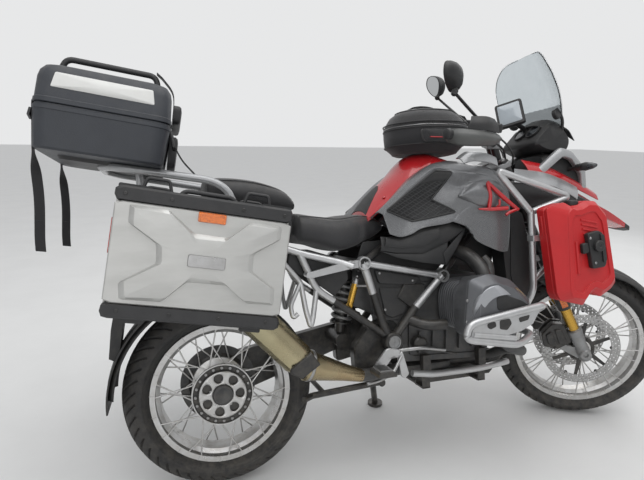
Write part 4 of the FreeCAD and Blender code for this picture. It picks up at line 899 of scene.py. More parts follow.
def side_panels():
    """Silver-grey side panels with their strips, grilles, bulges, red bars and the black covers beneath."""
    fairing, grille, covers, triangles, wings, pales, rims, cores = [], [], [], [], [], [], [], []
    edge = [(533, 113, 883), (592, 113, 931), (673, 113, 1011), (725, 113, 1046), (776, 114, 1070),
            (813, 117, 1079), (860, 122, 1082), (926, 140, 1069), (985, 150, 1058), (1026, 165, 1036)]
    crest = [(540, 160, 902), (600, 165, 955), (670, 168, 1016), (730, 168, 1056), (770, 168, 1068),
             (812, 170, 1069), (860, 172, 1065), (930, 185, 1050), (985, 190, 1036), (1030, 192, 1012)]
    crease = [(546, 196, 893), (610, 200, 950), (668, 202, 1000), (735, 203, 1045), (770, 204, 1046),
              (806, 204, 1040), (870, 206, 1032), (945, 214, 1020), (990, 214, 1004), (1030, 212, 985)]
    fairing.append(skin([edge, crest, crease]))
    fairing.append(patch([(x, z) for x, _, z in crease],
                         [(569, 826), (606, 815), (644, 824), (681, 844), (787, 861), (840, 905), (900, 925),
                          (1034, 925)], 16, 56))
    fairing.append(patch([(787, 861), (840, 905), (900, 925), (1034, 925)],
                         [(856, 837), (880, 790), (980, 747), (1018, 746)], 14, 30))
    fairing.append(patch([(808, 950), (846, 985), (894, 1000), (950, 1002), (990, 990)],
                         [(808, 942), (850, 925), (905, 905), (950, 905), (985, 930)], 12, 34, lift=0.6,
                         crown=11))
    grille.append(patch([(802, 894), (648, 867), (556, 906), (673, 990)],
                        [(802, 894), (722, 939), (781, 1006)], 8, 50, lift=4.2, smooth=False))
    rims.append(patch([(673, 990), (742, 1038), (806, 1033)], [(673, 990), (727, 998), (781, 1006)], 4, 20,
                      lift=4.4, smooth=False))
    rim = resampled(np.array([(742, 1038), (806, 1033), (722, 939), (802, 894), (648, 867), (556, 906),
                              (673, 990), (742, 1038)], float), 90)
    rims.append(pipe(np.stack([rim[:, 0], FLANK(rim[:, 0], rim[:, 1]) + 2.5, rim[:, 1]], 1), 7, 2, 8))
    covers.append(patch([(546, 818), (606, 813), (681, 842), (787, 859), (856, 835)],
                        [(545, 770), (600, 760), (690, 756), (780, 792), (856, 835)], 8, 40, lift=-26,
                        crown=6, smooth=False))
    covers.append(patch([(545, 770), (600, 760), (690, 756), (780, 792)],
                        [(548, 766), (600, 744), (690, 722), (772, 709)], 6, 40, lift=-32, crown=3,
                        smooth=False))
    covers.append(patch([(560, 815), (610, 806), (690, 832), (740, 842)],
                        [(556, 785), (610, 776), (690, 780), (740, 806)], 6, 30, lift=-15, crown=3,
                        smooth=False))
    triangles.append(patch([(760, 752), (800, 792), (850, 835)], [(772, 709), (815, 770), (852, 830)], 4, 20,
                           lift=-26, smooth=False))
    for path, thick in (([(912, 262, 992), (975, 262, 938), (1036, 262, 893)], [11, 17, 12]),
                        ([(1034, 262, 896), (1000, 262, 885), (985, 261, 876)], [13, 10]),
                        ([(992, 261, 900), (930, 260, 898), (878, 258, 900)], [15, 14, 6]),
                        ([(912, 262, 990), (922, 261, 945), (918, 260, 902)], [12, 15, 13]),
                        ([(960, 261, 930), (958, 262, 912), (950, 248, 900)], [8, 8])):
        wings.append(pipe(path, thick, smooth=True))
    pales.append(skin([[(880, 118, 1092), (922, 122, 1116), (990, 122, 1112), (1030, 124, 1096)],
                       [(880, 146, 1086), (922, 152, 1108), (990, 152, 1104), (1030, 154, 1090)],
                       [(888, 160, 1068), (928, 166, 1076), (990, 166, 1070), (1028, 168, 1058)]], 5, 24))
    piece("side_panels", both(fairing), GREY, replaces=("tank_side_right", "tank_side_left"), wall=5, bevel=1.2,
          sharp=40)
    piece("intake_grilles", both(grille), LATTICE, wall=4)
    piece("intake_rims", both(rims), BLACK, wall=2)
    piece("side_covers", both(covers) + both(triangles), BLACK, replaces=("side_cover_right", "side_cover_left"),
          wall=5, bevel=1.5)
    piece("red_winglets", both(wings), RED)
    piece("tank_front_covers", both(pales), PALE, wall=4, bevel=1)
    for side in BOTH:
        cores.append(slab([(560, 872), (740, 1030), (960, 1026), (1012, 980), (1020, 900), (1005, 800), (985, 800),
                           (880, 840), (845, 860), (775, 878), (600, 840)], 112, 150, 3, side))
        cores.append(slab([(640, 875), (745, 1000), (930, 985), (985, 900), (980, 790), (890, 820), (850, 858)],
                          148, 190, 6, side))
    piece("side_panel_cores", cores, BLACK)


side_panels()


def ring_section(place_at, half, low, high, power=3.2, count=44, crown=0.0):
    """Superellipse across the machine at one place along it, its top raised by a crown in the middle."""
    flat = oval(half, (high - low) / 2, power, count)
    lift = crown * np.clip(flat[:, 1] / ((high - low) / 2), 0, 1) * (1 - (flat[:, 0] / half) ** 2)
    return np.stack([np.full(count, place_at), flat[:, 0], flat[:, 1] + (high + low) / 2 + lift], 1)


def seats():
    """Rider's and pillion's seats: lofts of superellipses, with raised seams along their upper edges."""
    rider = [ring_section(x, half, low, high, 3.4) for x, half, low, high in (
        (264, 150, 806, 896), (275, 160, 803, 908), (330, 168, 792, 899), (400, 170, 770, 891), (470, 152, 780, 897),
        (520, 106, 796, 896), (560, 98, 812, 888), (588, 88, 832, 870))]
    front = piece("rider_seat_pad", [loft(rider, 8)], SEAT, replaces=("seat_rider",), sharp=60)
    pillion = [ring_section(x, half, low, high, 3.0, crown=4) for x, half, low, high in (
        (-28, 120, 948, 1022), (-15, 138, 943, 1031), (60, 148, 936, 1030), (140, 150, 929, 1018),
        (215, 148, 922, 992), (250, 140, 919, 958), (257, 128, 919, 944))]
    rear = piece("pillion_seat_pad", [loft(pillion, 8)], SEAT, replaces=("seat_pillion",), sharp=60)
    seams = []
    for side in BOTH:
        seams.append(pipe([(268, side * 140, 899), (330, side * 148, 892), (400, side * 150, 884),
                           (470, side * 132, 890), (520, side * 92, 890), (568, side * 80, 880)], 4, smooth=True,
                          sides=8))
        seams.append(pipe([(-22, side * 112, 1022), (60, side * 127, 1020), (140, side * 129, 1008),
                           (215, side * 126, 982), (250, side * 116, 954)], 4, smooth=True, sides=8))
    piece("seat_seams", seams, SEAT)


seats()


def tail():
    """Tail bodywork with its lamp and turn signals, and the arch inside the rear fender: a part of a circle about
    the axle that falls away as the fourth power of the distance across."""
    rows = [ring_section(x, half, low, high, 5) for x, half, low, high in (
        (-296, 70, 920, 948), (-280, 88, 914, 953), (-150, 110, 913, 954), (20, 120, 913, 933),
        (140, 121, 872, 926), (248, 121, 828, 914))]
    piece("tail_shell", [loft(rows, 5)], BLACK, replaces=("tail_unit",), sharp=40)
    lamp = [ring_section(x, half, 918, 950, 6) for x, half in ((-299, 58), (-296, 66), (-286, 70))]
    piece("tail_lamp", [loft(lamp, 3)], RED_LENS)
    stalks, lenses = [], []
    for side in BOTH:
        stalks.append(pipe([(-262, side * 50, 905), (-268, side * 100, 895), (-268, side * 128, 890)], 11))
        lenses.append(turned([(0, 0), (0, 16), (10, 19), (44, 15), (52, 8), (54, 0)], 20, (-268, side * 126, 890),
                             (0.1, side, -0.05)))
    piece("rear_turn_lamps", lenses, ORANGE)
    piece("rear_turn_stalks", stalks, BLACK)
    turn, wide = np.meshgrid(np.radians(np.linspace(128, 176, 30)), np.linspace(-1, 1, 21), indexing="ij")
    radius = 362 - 24 * np.abs(wide) ** 4
    arch = np.stack([radius * np.cos(turn), 82 * wide, 318 + radius * np.sin(turn)], -1)
    piece("rear_fender_arch", [grid(arch)], BLACK, wall=3, sharp=50)


tail()


# Frame, engine and drive


def frame_pieces():
    """Trellis frame as tubes with dark lower ends and turned rings, the dark panels behind it, and the subframe."""
    silver, dark, rims, wells, caps, panels, screws = [], [], [], [], [], [], []
    for side in BOTH:
        silver += [tube(side, [(482, 160, 730), (783, 160, 667)], 24),
                   tube(side, [(482, 160, 730), (516, 158.2, 622)], 27),
                   tube(side, [(783, 160, 667), (678, 155, 561)], 27)]
        dark += [tube(side, [(516, 158.2, 624), (520, 158, 613), (553, 155, 507), (583, 152, 450)], 30, 25),
                 tube(side, [(679, 155, 562), (673, 155, 556), (617, 154, 491), (583, 152, 450)], 30, 25),
                 tube(side, [(783, 160, 667), (850, 142, 735), (930, 95, 790), (1127.6, 25, 964.8)], 27, 40),
                 tube(side, [(482, 160, 730), (620, 90, 800), (1000, 60, 930), (1108.3, 20, 1009.8)], 27, 60)]
        for x, z, radius in ((482, 730, 24), (783, 667, 23), (441, 730, 12)):
            rims.append(turned([(0, radius), (25, radius), (28, radius - 2), (28, radius - 5.5), (16, radius - 6),
                                (16, 0)], 40, (x, side * 150, z), (0, side, 0)))
            wells.append(turned([(16.5, 0), (16.5, radius - 6.2)], 30, (x, side * 150, z), (0, side, 0)))
        wells.append(turned([(-14, 33), (20, 33), (24, 30), (24, 0)], 48, (583, side * 152, 450), (0, side, 0)))
        caps.append(turned([(24, 0), (24, 23), (29, 22), (29, 18.5), (26.5, 18), (26.5, 0)], 40,
                           (583, side * 152, 450), (0, side, 0)))
        for turn in (30, 90, 150):
            rib = slab([(-19, -1.5), (19, -1.5), (19, 1.5), (-19, 1.5)], 176, 179.5, 0.5)
            caps.append(mirrored((rib[0] @ turn_about((0, 1, 0), turn).T + (583, 0, 450), rib[1]), side))
        dark.append(slab([(690, 825), (730, 825), (730, 903), (690, 903)], 60, 100, 2, side))
        panels.append(slab([(505, 712), (700, 676), (716, 640), (620, 520), (560, 520), (512, 640)], 136.5, 139, 1,
                           side))
        panels.append(soft_slab([(528, 702), (706, 664), (680, 640), (543, 655)], 8, 3, 136, 148, 3, side))
        panels.append(soft_slab([(545, 640), (676, 628), (640, 540), (592, 528), (566, 540)], 8, 3, 136, 144,
                                3, side))
        screws.append(bolts([(547, side * 148, 690), (674, side * 148, 655), (566, side * 144, 560)], (0, side, 0), 4,
                            2))
    dark.append(pipe([(482, -150, 730), (482, 150, 730)], 24))
    dark.append(pipe([(1152.4, 0, 952.2), (1109.4, 0, 1042.5)], [66, 62, 62, 66]))
    piece("frame_tubes", silver, SILVER, replaces=("main_frame",))
    piece("frame_dark_tubes", dark, BLACK_METAL)
    piece("frame_rings", rims, SILVER)
    piece("frame_wells", wells, BLACK_METAL)
    piece("pivot_caps", caps, CASTING)
    piece("frame_panels", panels, BLACK)
    piece("frame_screws", screws, STEEL)

    tubes, plates, fillers, struts = [], [], [], []
    for side in BOTH:
        tubes += [tube(side, points, thick, bend) for points, thick, bend in (
            ([(440, 172, 722), (400, 160, 738), (265, 148, 775), (-20, 140, 880), (-150, 125, 899.8)], 24, 30),
            ([(376, 148, 607), (316, 148, 650), (262, 148, 776)], 24, 30),
            ([(316, 148, 650), (292, 176, 560), (282, 184, 534), (270, 172, 590), (262, 148, 680), (150, 146, 817)],
             18, 14),
            ([(262, 150, 680), (222, 162, 606), (226, 172, 566), (244, 172, 580)], 15, 14),
            ([(-80, 132, 889), (-80, 196, 889)], 20, 5), ([(-80, 196, 889), (-87, 196, 856)], 18, 5),
            ([(284, 146, 705), (284, 186, 705)], 20, 5))]
        plates.append(soft_slab([(470, 742), (430, 742), (292, 713), (278, 700), (290, 692), (430, 714), (470, 718)],
                                8, 3, 160, 174, 2, side))
        fillers.append(soft_slab([(225, 738), (235, 788), (296, 786), (428, 742), (363, 714), (265, 700)], 8, 3,
                                 126, 132, 2, side))
        fillers.append(soft_slab([(296, 688), (432, 722), (440, 676), (387, 619)], 8, 3, 122, 128, 2, side))
        fillers.append(soft_slab([(860, 690), (1046, 700), (1046, 900), (960, 900), (860, 800)], 8, 3, 70, 96,
                                 3, side))
        fillers.append(soft_slab([(480, 738), (600, 700), (785, 676), (850, 735), (800, 810), (500, 800)], 8, 3,
                                 104, 112, 2, side))
        plates.append(slab([(36, 845), (76, 845), (76, 880), (36, 880)], 140, 182, 2, side))
        struts.append(tube(side, [(556, 152, 476), (376, 148, 607)], 25))
        points, quads = slab([(-120, 85), (110, 85), (110, 103), (-120, 103)], 184, 254.8, 2, side)
        plates.append((points @ PANNIER_TILT.T + PANNIER_AT, quads))
    tubes += [pipe([(-150, -132, 899.8), (-150, 132, 899.8)], 24), pipe([(200, -150, 799), (200, 150, 799)], 24)]
    piece("subframe_tubes", tubes, SILVER, replaces=("rear_subframe",))
    piece("subframe_plates", plates, SILVER, bevel=0.8)
    piece("subframe_struts", struts, BLACK_METAL)
    piece("subframe_fillers", fillers, BLACK, bevel=1)


frame_pieces()


def outline_rings(rows, depths, side, bend=18, steps=5, columns=72):
    """Skin of outlines at their own distances from the middle, corners rounded, ends closed on their centres."""
    rings = []
    for outline, depth in zip(rows, depths):
        flat = ring_read(rounded(outline, bend, steps, True), columns)
        rings.append(np.stack([flat[:, 0], np.full(columns, side * depth), flat[:, 1]], 1))
    return closed_stack(rings)


def engine_pieces():
    """Crankcase, finned cylinders with their covers, intakes and the engine's small parts."""
    at = np.array([870, 0, 565.0])
    case, fins, heads, covers, bands, pads, bits, darks, trims = [], [], [], [], [], [], [], [], []
    case.append(outline_rings([[(632, 365), (960, 345), (1015, 420), (1015, 600), (950, 665), (800, 665), (640, 690),
                                (540, 690), (516, 640), (520, 545), (618, 508), (632, 480)]] * 2, (-133, 133), 1, 14))
    for side in BOTH:
        case.append(outline_rings([[(655, 384), (940, 368), (990, 430), (990, 590), (940, 640), (660, 650)]] * 3,
                                  (132, 140, 134), side, 20))
        for place in range(5):
            case.append(slab([(690 + 55 * place, 392), (697 + 55 * place, 392), (702 + 55 * place, 470),
                              (695 + 55 * place, 470)], 134, 146, 1, side))
        fin = ring_read(oval(96, 92, 3.2, 60), 60)
        for number in range(9):
            points, quads = slab(fin, 148 + 13.5 * number, 152 + 13.5 * number, 1, side)
            fins.append((points + at, quads))
        fins.append(turned([(0, 74), (125, 74)], 40, at + (0, side * 134, 0), (0, side, 0)))
        low = np.array([(-100, -80), (-40, -98), (85, -92), (128, -30), (132, 20), (104, 78), (40, 108), (-70, 105),
                        (-104, 44)])
        wide = np.array([(-112, -66), (-60, -98), (72, -98), (134, -34), (140, 20), (64, 94), (-18, 119), (-92, 104)])
        rows = [low, low * 1.03, wide * 0.995, wide]
        for target, shapes, depths in (
                (heads, rows, (262, 268, 318, 330)),
                (covers, [wide * 0.96, wide * 1.02, wide * 1.02, wide * 0.97,
                          [(-84, -52), (-50, -76), (60, -76), (106, -26), (112, 12), (50, 72), (-15, 94), (-68, 82)]],
                 (331, 334, 341, 348, 376))):
            points, quads = outline_rings(shapes, depths, side, 16)
            target.append((points + at, quads))
        # Arc band round the head cover in lighter silver: a painted highlight on the cover.
        arc = spline([(782, 346, 516), (776, 356, 560), (784, 368, 606), (812, 374, 640), (856, 372, 654),
                      (900, 362, 650), (950, 350, 634), (998, 340, 596)], 6)
        inner = spline([(812, 352, 516), (806, 362, 560), (816, 376, 590), (842, 380, 610), (876, 380, 616),
                        (912, 370, 612), (956, 356, 600), (990, 346, 582)], 6)
        bands.append(mirrored(grid(np.stack([arc + (0, -10, 0), arc, arc + (0, 5, -4), inner + (0, 5, 3), inner,
                                             inner + (0, -8, 0)], 1)), side))
        trims.append(tube(side, [(902, 368, 642), (950, 356, 628), (996, 345, 592)], [5, 9, 5], smooth=True))
        points, quads = outline_rings([[(-16, 46), (10, 56), (86, 26), (116, 2), (70, -2), (-14, 6)]] * 3,
                                      (368, 377, 378), side, 8, 4)
        pads.append((points + at, quads))
        points, quads = outline_rings([[(-22, 54), (10, 66), (92, 34), (124, 0), (70, -10), (-22, -2)]] * 2,
                                      (360, 371), side, 8, 4)
        bands.append((points + at, quads))
        for spot, radius in (((812, 330, 650), 17), ((880, 330, 660), 13)):
            bits.append(turned([(0, radius + 3), (10, radius + 3), (13, radius), (13, radius * 0.7),
                                (9, radius * 0.6), (9, 0)], 28, np.array(spot) * (1, side, 1), (0.1, side * 0.7, 0.75)))
        for angle in np.radians(np.arange(20, 380, 45)):
            bits.append(bolts([at + (112.24 * math.cos(angle), side * 340, 90 * math.sin(angle))], (0, side, 0), 5, 5))
        darks.append(tube(side, [(868, 300, 652), (866, 280, 700), (850, 220, 745), (820, 150, 760)], 50, 40))
        darks.append(tube(side, [(905, 270, 668), (915, 256, 706), (900, 240, 730)], 34, 20))
        for z in (712, 726):
            trims.append(tube(side, [(838, 252, z - 4), (862, 266, z), (890, 252, z + 4)], 4))
        darks.append(tube(side, [(650, 150, 520), (700, 190, 500), (770, 205, 500)], 38, 30))
        darks.append(tube(side, [(560, 150, 415), (650, 165, 420), (740, 175, 405), (830, 168, 380)], 9, 20))
        bits.append(tube(side, [(600, 168, 418), (690, 178, 420), (780, 176, 402)], 14, 20))
        darks.append(slab([(660, 560), (720, 590), (720, 640), (640, 645), (612, 600)], 134, 152, 4, side))
        darks.append(soft_slab([(455, 330), (540, 345), (580, 420), (560, 520), (500, 500), (450, 430)], 15, 4,
                               80, 128, 5, side))
        darks.append(turned([(0, 0), (0, 26), (30, 26), (36, 20), (36, 0)], 30, (690, side * 134, 430),
                            (0, side, 0)))
    case.append(turned_level(lathe([(0, 95), (20, 95), (27, 88), (28, 40), (22, 36), (22, 0)], 60), -90,
                             (1015, 0, 510)))
    turn = np.linspace(0, 2 * math.pi, 10, endpoint=False)
    bits.append(bolts(np.stack([np.full(10, 1042.0), 82 * np.cos(turn), 510 + 82 * np.sin(turn)], 1), (1, 0, 0), 5, 4))
    piece("crankcase", case, DARK_CASTING, replaces=("engine_block",), sharp=40)
    piece("cylinder_fins", fins, BARREL, replaces=("cylinder_right", "cylinder_left"), sharp=40)
    piece("cylinder_heads", heads, BARREL, bevel=1.5, sharp=40)
    piece("head_covers", covers, HEAD_GREY, bevel=1.5, sharp=40)
    # Head bands in lighter silver: the arc is a painted highlight, the smaller rings rim the pads.
    piece("head_highlight_bands", bands, HEAD_HIGHLIGHT_SILVER, wall=2)
    piece("head_pads", pads, BLACK, bevel=1)
    piece("head_bolts", bits, STEEL)
    piece("intake_pipes", darks, BLACK_METAL)
    piece("head_trims", trims, EXHAUST)


engine_pieces()


def drive_pieces():
    """Swingarm with its hub drive, spring strut, gold reservoir, exhaust, guards and pegs.

    The spring's wire is a ring of points carried round a helix: the strut's own direction times the way along it,
    plus the coil's radius times (cos a across + sin a sideways).
    """
    arm = [outline_rings([[(600, 482), (604, 420), (560, 405), (90, 262), (0, 250), (-70, 300), (-60, 370), (20, 400),
                           (540, 492)]] * 4, (97, 104, 128, 134), 1, 16)]
    arm.append(lathe([(64.3, 42), (70, 42), (70, 100), (76, 108), (140, 108), (150, 96), (152, 60), (146, 56),
                      (146, 0)], 60))
    arm[-1] = shifted(arm[-1], (0, 0, 318))
    arm.append(pipe([(583, -134.8, 450), (583, 134.8, 450)], 62))
    arm.append(pipe([(440, -40, 440), (440, 100, 440)], 52))
    bits = [bolts(spots_round(92, 8, 150) + (0, 0, 318), (0, 1, 0), 5, 4)]
    piece("swingarm_casting", arm, BLACK_METAL, replaces=("swingarm",), sharp=45)
    piece("swingarm_bolts", bits, STEEL)

    low, high = np.array([440, 0, 440.0]), np.array([482, 0, 730.0])
    run = unit(high - low)
    length = np.linalg.norm(high - low)
    steps, coils, coil_radius, wire_radius = 260, 6.5, 33, 6.5
    turns = np.linspace(0, coils * 2 * math.pi, steps)
    across = unit(np.cross(run, (0, 1, 0)))
    coil = (low + run * np.linspace(64, 214, steps)[:, None]
            + coil_radius * (np.cos(turns)[:, None] * across + np.sin(turns)[:, None] * np.array([0, 1, 0])))
    tangent = unit(np.gradient(coil, axis=0))
    outward = unit(coil - low - run * ((coil - low) @ run)[:, None])
    third = np.cross(tangent, outward)
    angle = np.linspace(0, 2 * math.pi, 12, endpoint=False)
    ring = coil[:, None] + wire_radius * (np.cos(angle)[None, :, None] * outward[:, None]
                                          + np.sin(angle)[None, :, None] * third[:, None])
    piece("shock_spring", [grid(ring, loop_columns=True)], CASTING, replaces=("rear_shock",))
    body = [turned([(27, 0), (27, 20), (58, 20), (60, 41), (66, 41), (66, 22), (212, 22), (212, 41), (219, 41),
                    (222, 26), (length - 14, 24), (length - 14, 0)], 32, low, run)]
    piece("shock_body", body, BLACK_METAL)
    tank_low, tank_high = np.array([440, -118, 572.0]), np.array([476, -118, 684.0])
    golds = [turned([(-4, 0), (-4, 9), (0, 12), (16, 12), (17, 10.5), (21, 10.5), (22, 12), (88, 12), (90, 0)], 28,
                    tank_low, tank_high - tank_low)]
    caps = [turned([(88, 0), (88, 12), (92, 12.5), (104, 12.5), (110, 9), (112, 5), (117, 5), (117, 0)], 28,
                   tank_low, tank_high - tank_low),
            pipe([(466, -124, 650), (497.5, -148.7, 650)], 10)]
    piece("reservoir_body", golds, GOLD, sharp=40)
    piece("reservoir_cap", caps, STEEL)
    piece("reservoir_hose", [pipe([(480, -118, 700), (492, -90, 712), (484, -50, 705), (476, -20, 690)], 8,
                                  smooth=True)], BLACK_METAL)

    start, end = np.array([258, -191.5, 409.5]), np.array([30, -195, 655.0])
    long = np.linalg.norm(end - start)
    stations = [(-4, 25), (0, 30), (22, 47), (40, 54), (46, 55.5), (52, 54.5), (long - 26, 54.5), (long - 20, 56),
                (long - 4, 55), (long, 48)]
    facets = np.radians(np.arange(0, 360, 6))
    shape = 1 - 0.045 * np.abs(np.sin(3 * facets)) ** 0.8
    rows = []
    for along, radius in stations:
        rows.append(np.stack([radius * shape * np.cos(facets), np.full(60, along), radius * shape * np.sin(facets)], 1))
    rows = [rows[0] * (0, 1, 0)] + rows + [rows[-1] * (0, 1, 0)]
    can = aimed(grid(np.stack(rows), loop_columns=True), start, end - start)
    cone_start, cone_end = np.array([455, -175, 350.0]), np.array([260.814, -189.564, 414.081])
    reach = np.linalg.norm(cone_end - cone_start)
    cone = turned([(-2, 21.5), (6, 22), (reach * 0.35, 29), (reach * 0.7, 40), (reach - 14, 47), (reach - 8, 50),
                   (reach + 3, 51), (reach + 6, 46)], 48, cone_start, cone_end - cone_start)
    rim = turned([(reach - 16, 48), (reach - 12, 51.5), (reach - 6, 51.5), (reach - 3, 49)], 48, cone_start,
                 cone_end - cone_start)
    pipes = [pipe([(650, -60, 316), (585, -100, 330), (520, -150, 340), (455, -175, 350), (445, -176, 353)], 44, 30)]
    for side in BOTH:
        pipes.append(tube(side, [(935, 300, 479.8), (935, 300, 430), (1030, 285, 395), (1062, 140, 368),
                                 (1010, 60, 320), (845, 40, 317)], 38, 40))
        pipes.append(mirrored(turned([(0, 19), (0, 27), (8, 27), (8, 19)], 24, (935, 300, 470), (0, 0, 1)),
                              side))
    box_rows = [ring_section(x, half, 296, 338, 4, 32) for x, half in ((636, 60), (644, 85), (846, 85), (854, 60))]
    pipes.append(loft(box_rows, 2))
    piece("muffler", [can], EXHAUST, replaces=("exhaust",), sharp=24)
    piece("muffler_cone", [cone], EXHAUST)
    piece("muffler_rings", [rim], STEEL)
    piece("exhaust_pipes", pipes, DARK_CASTING)
    across = unit(np.cross(end - start, (0, 1, 0)))
    run = unit(end - start)
    shield_at = start + run * 18
    outline = np.array([(-40, -46), (34, -56), (52, 44), (38, 60), (-20, 42)])
    shield = []
    for reach_out, scale in ((50, 1.0), (57, 1.0), (62, 0.9)):
        shield.append(shield_at + run * outline[:, :1] * 0.7 * scale + across * outline[:, 1:] * 0.8 * scale
                      - np.array([0, 1, 0]) * reach_out)
    shield = [np.repeat(shield[0].mean(0)[None], 5, 0)] + shield + [np.repeat(shield[-1].mean(0)[None], 5, 0)]
    piece("muffler_shield", [grid(np.stack(shield), loop_columns=True)], BLACK_METAL, bevel=2)

    rails, plates, darks, grips = [], [], [], []
    for side in BOTH:
        rails += [tube(side, [(655, 160, 328), (733, 160, 314), (934, 160, 312), (1065, 145, 318)], 24, 30),
                  tube(side, [(1080, 270, 885), (958, 250, 1034), (1225, 300, 933), (1090, 272, 885)], 24, 25),
                  tube(side, [(1083, 271, 890), (1101, 255, 600), (1070, 230, 520), (1005, 175, 515),
                              (1005, 135, 515)], 24, 30),
                  tube(side, [(1101, 256, 640), (1165, 258, 690), (1180, 270, 880), (1182, 284, 916)], 20, 30),
                  tube(side, [(1000, 135, 470), (1000, 175, 470), (1026, 300, 520), (1026, 398, 578), (737, 398, 540),
                              (721, 398, 493), (917, 398, 455), (1015, 345, 470), (1005, 290, 478)], 24, 30),
                  tube(side, [(748, 398, 505), (905, 398, 478)], 20, 5)]
        plates.append(slab([(1004, 564), (760, 534), (748, 522), (738, 496), (840, 485), (930, 500), (975, 520)], 397,
                           400, 0.8, side))
        darks += [soft_slab(hole, 5, 3, 399.4, 400.8, 0.3, side) for hole in (
            [(800, 536), (830, 540), (834, 524), (812, 516), (800, 524)],
            [(846, 542), (884, 545), (892, 528), (874, 508), (846, 514)],
            [(918, 544), (962, 550), (956, 534), (922, 528)])]
        if side < 0:
            rails += [slab([(1160, 690), (1200, 690), (1200, 860), (1160, 860)], 262, 297, 2, side),
                      slab([(1070, 780), (1180, 780), (1180, 800), (1070, 800)], 262, 297, 2, side)]
        darks.append(slab([(700, 264), (1019, 264), (1088, 330), (1082, 334), (1014, 270), (702, 270)], -95, 95, 1)
                     if side > 0 else slab([(700, 262), (940, 262), (940, 300), (700, 300)], 94, 97, 0.5, side))
        for place_x in (700, 930):
            for near, far, bottom, top in ((90, 152, 262, 268), (146, 152, 262, 318), (135.2, 160, 318, 385)):
                darks.append(slab([(place_x, bottom), (place_x + 30, bottom), (place_x + 30, top), (place_x, top)],
                                  near, far, 1, side))
        for rows in ([(600, 425), (560, 434), (546, 432), (508, 388), (500, 370), (512, 356), (534, 362), (574, 408),
                      (590, 398)], [(606, 420), (588, 404), (600, 330), (613, 322), (630, 335)]):
            plates.append(soft_slab(rows, 6, 3, 176.2, 188, 2, side))
        grips.append(tube(side, [(505, 182, 372), (505, 205, 370)], 20))
        darks.append(outline_rings([[(478, 384), (532, 384), (538, 368), (472, 368)]] * 4, (208, 212, 282, 288), side,
                                   5))
        grips.append(tube(side, [(600, 190, 402), (560, 205, 352), (500, 225, 340), (452, 232, 338)], 11, 20))
        for tooth in range(7):
            grips.append(slab([(482, 383), (528, 383), (526, 390), (484, 390)], 214 + 10 * tooth, 217 + 10 * tooth, 0.8,
                              side))
    piece("guard_tubes", rails, SILVER, replaces=("upper_guard_right", "upper_guard_left",
                                                  "cylinder_guard_right", "cylinder_guard_left",
                                                  "skid_plate"))
    piece("guard_plates", plates, SILVER, replaces=("footpeg_right", "footpeg_left"), sharp=30)
    piece("sump_plate", darks, BLACK_METAL)
    piece("peg_parts", grips, STEEL)


drive_pieces()


# Luggage


CROSS = [(-185, 117), (-94, 117), (-25, 66), (62, 66), (113, 114), (195, 114), (197, 80), (130, 32), (132, -14),
         (196, -52), (200, -95), (128, -97), (70, -55), (-28, -56), (-84, -112), (-182, -114), (-189, -74),
         (-107, -19), (-112, 29), (-184, 74)]


def box_ring(half_long, low, high, corner, count=64):
    """Rounded rectangle along and up, read at even steps."""
    outline = rounded([(-half_long, low), (half_long, low), (half_long, high), (-half_long, high)], corner, 5, True)
    return ring_read(outline, count)


def stacked(rings, depths):
    """Closed skin of (along, up) rings, each at its own distance out."""
    return closed_stack([np.stack([ring[:, 0], np.full(len(ring), depth), ring[:, 1]], 1)
                         for ring, depth in zip(rings, depths)])


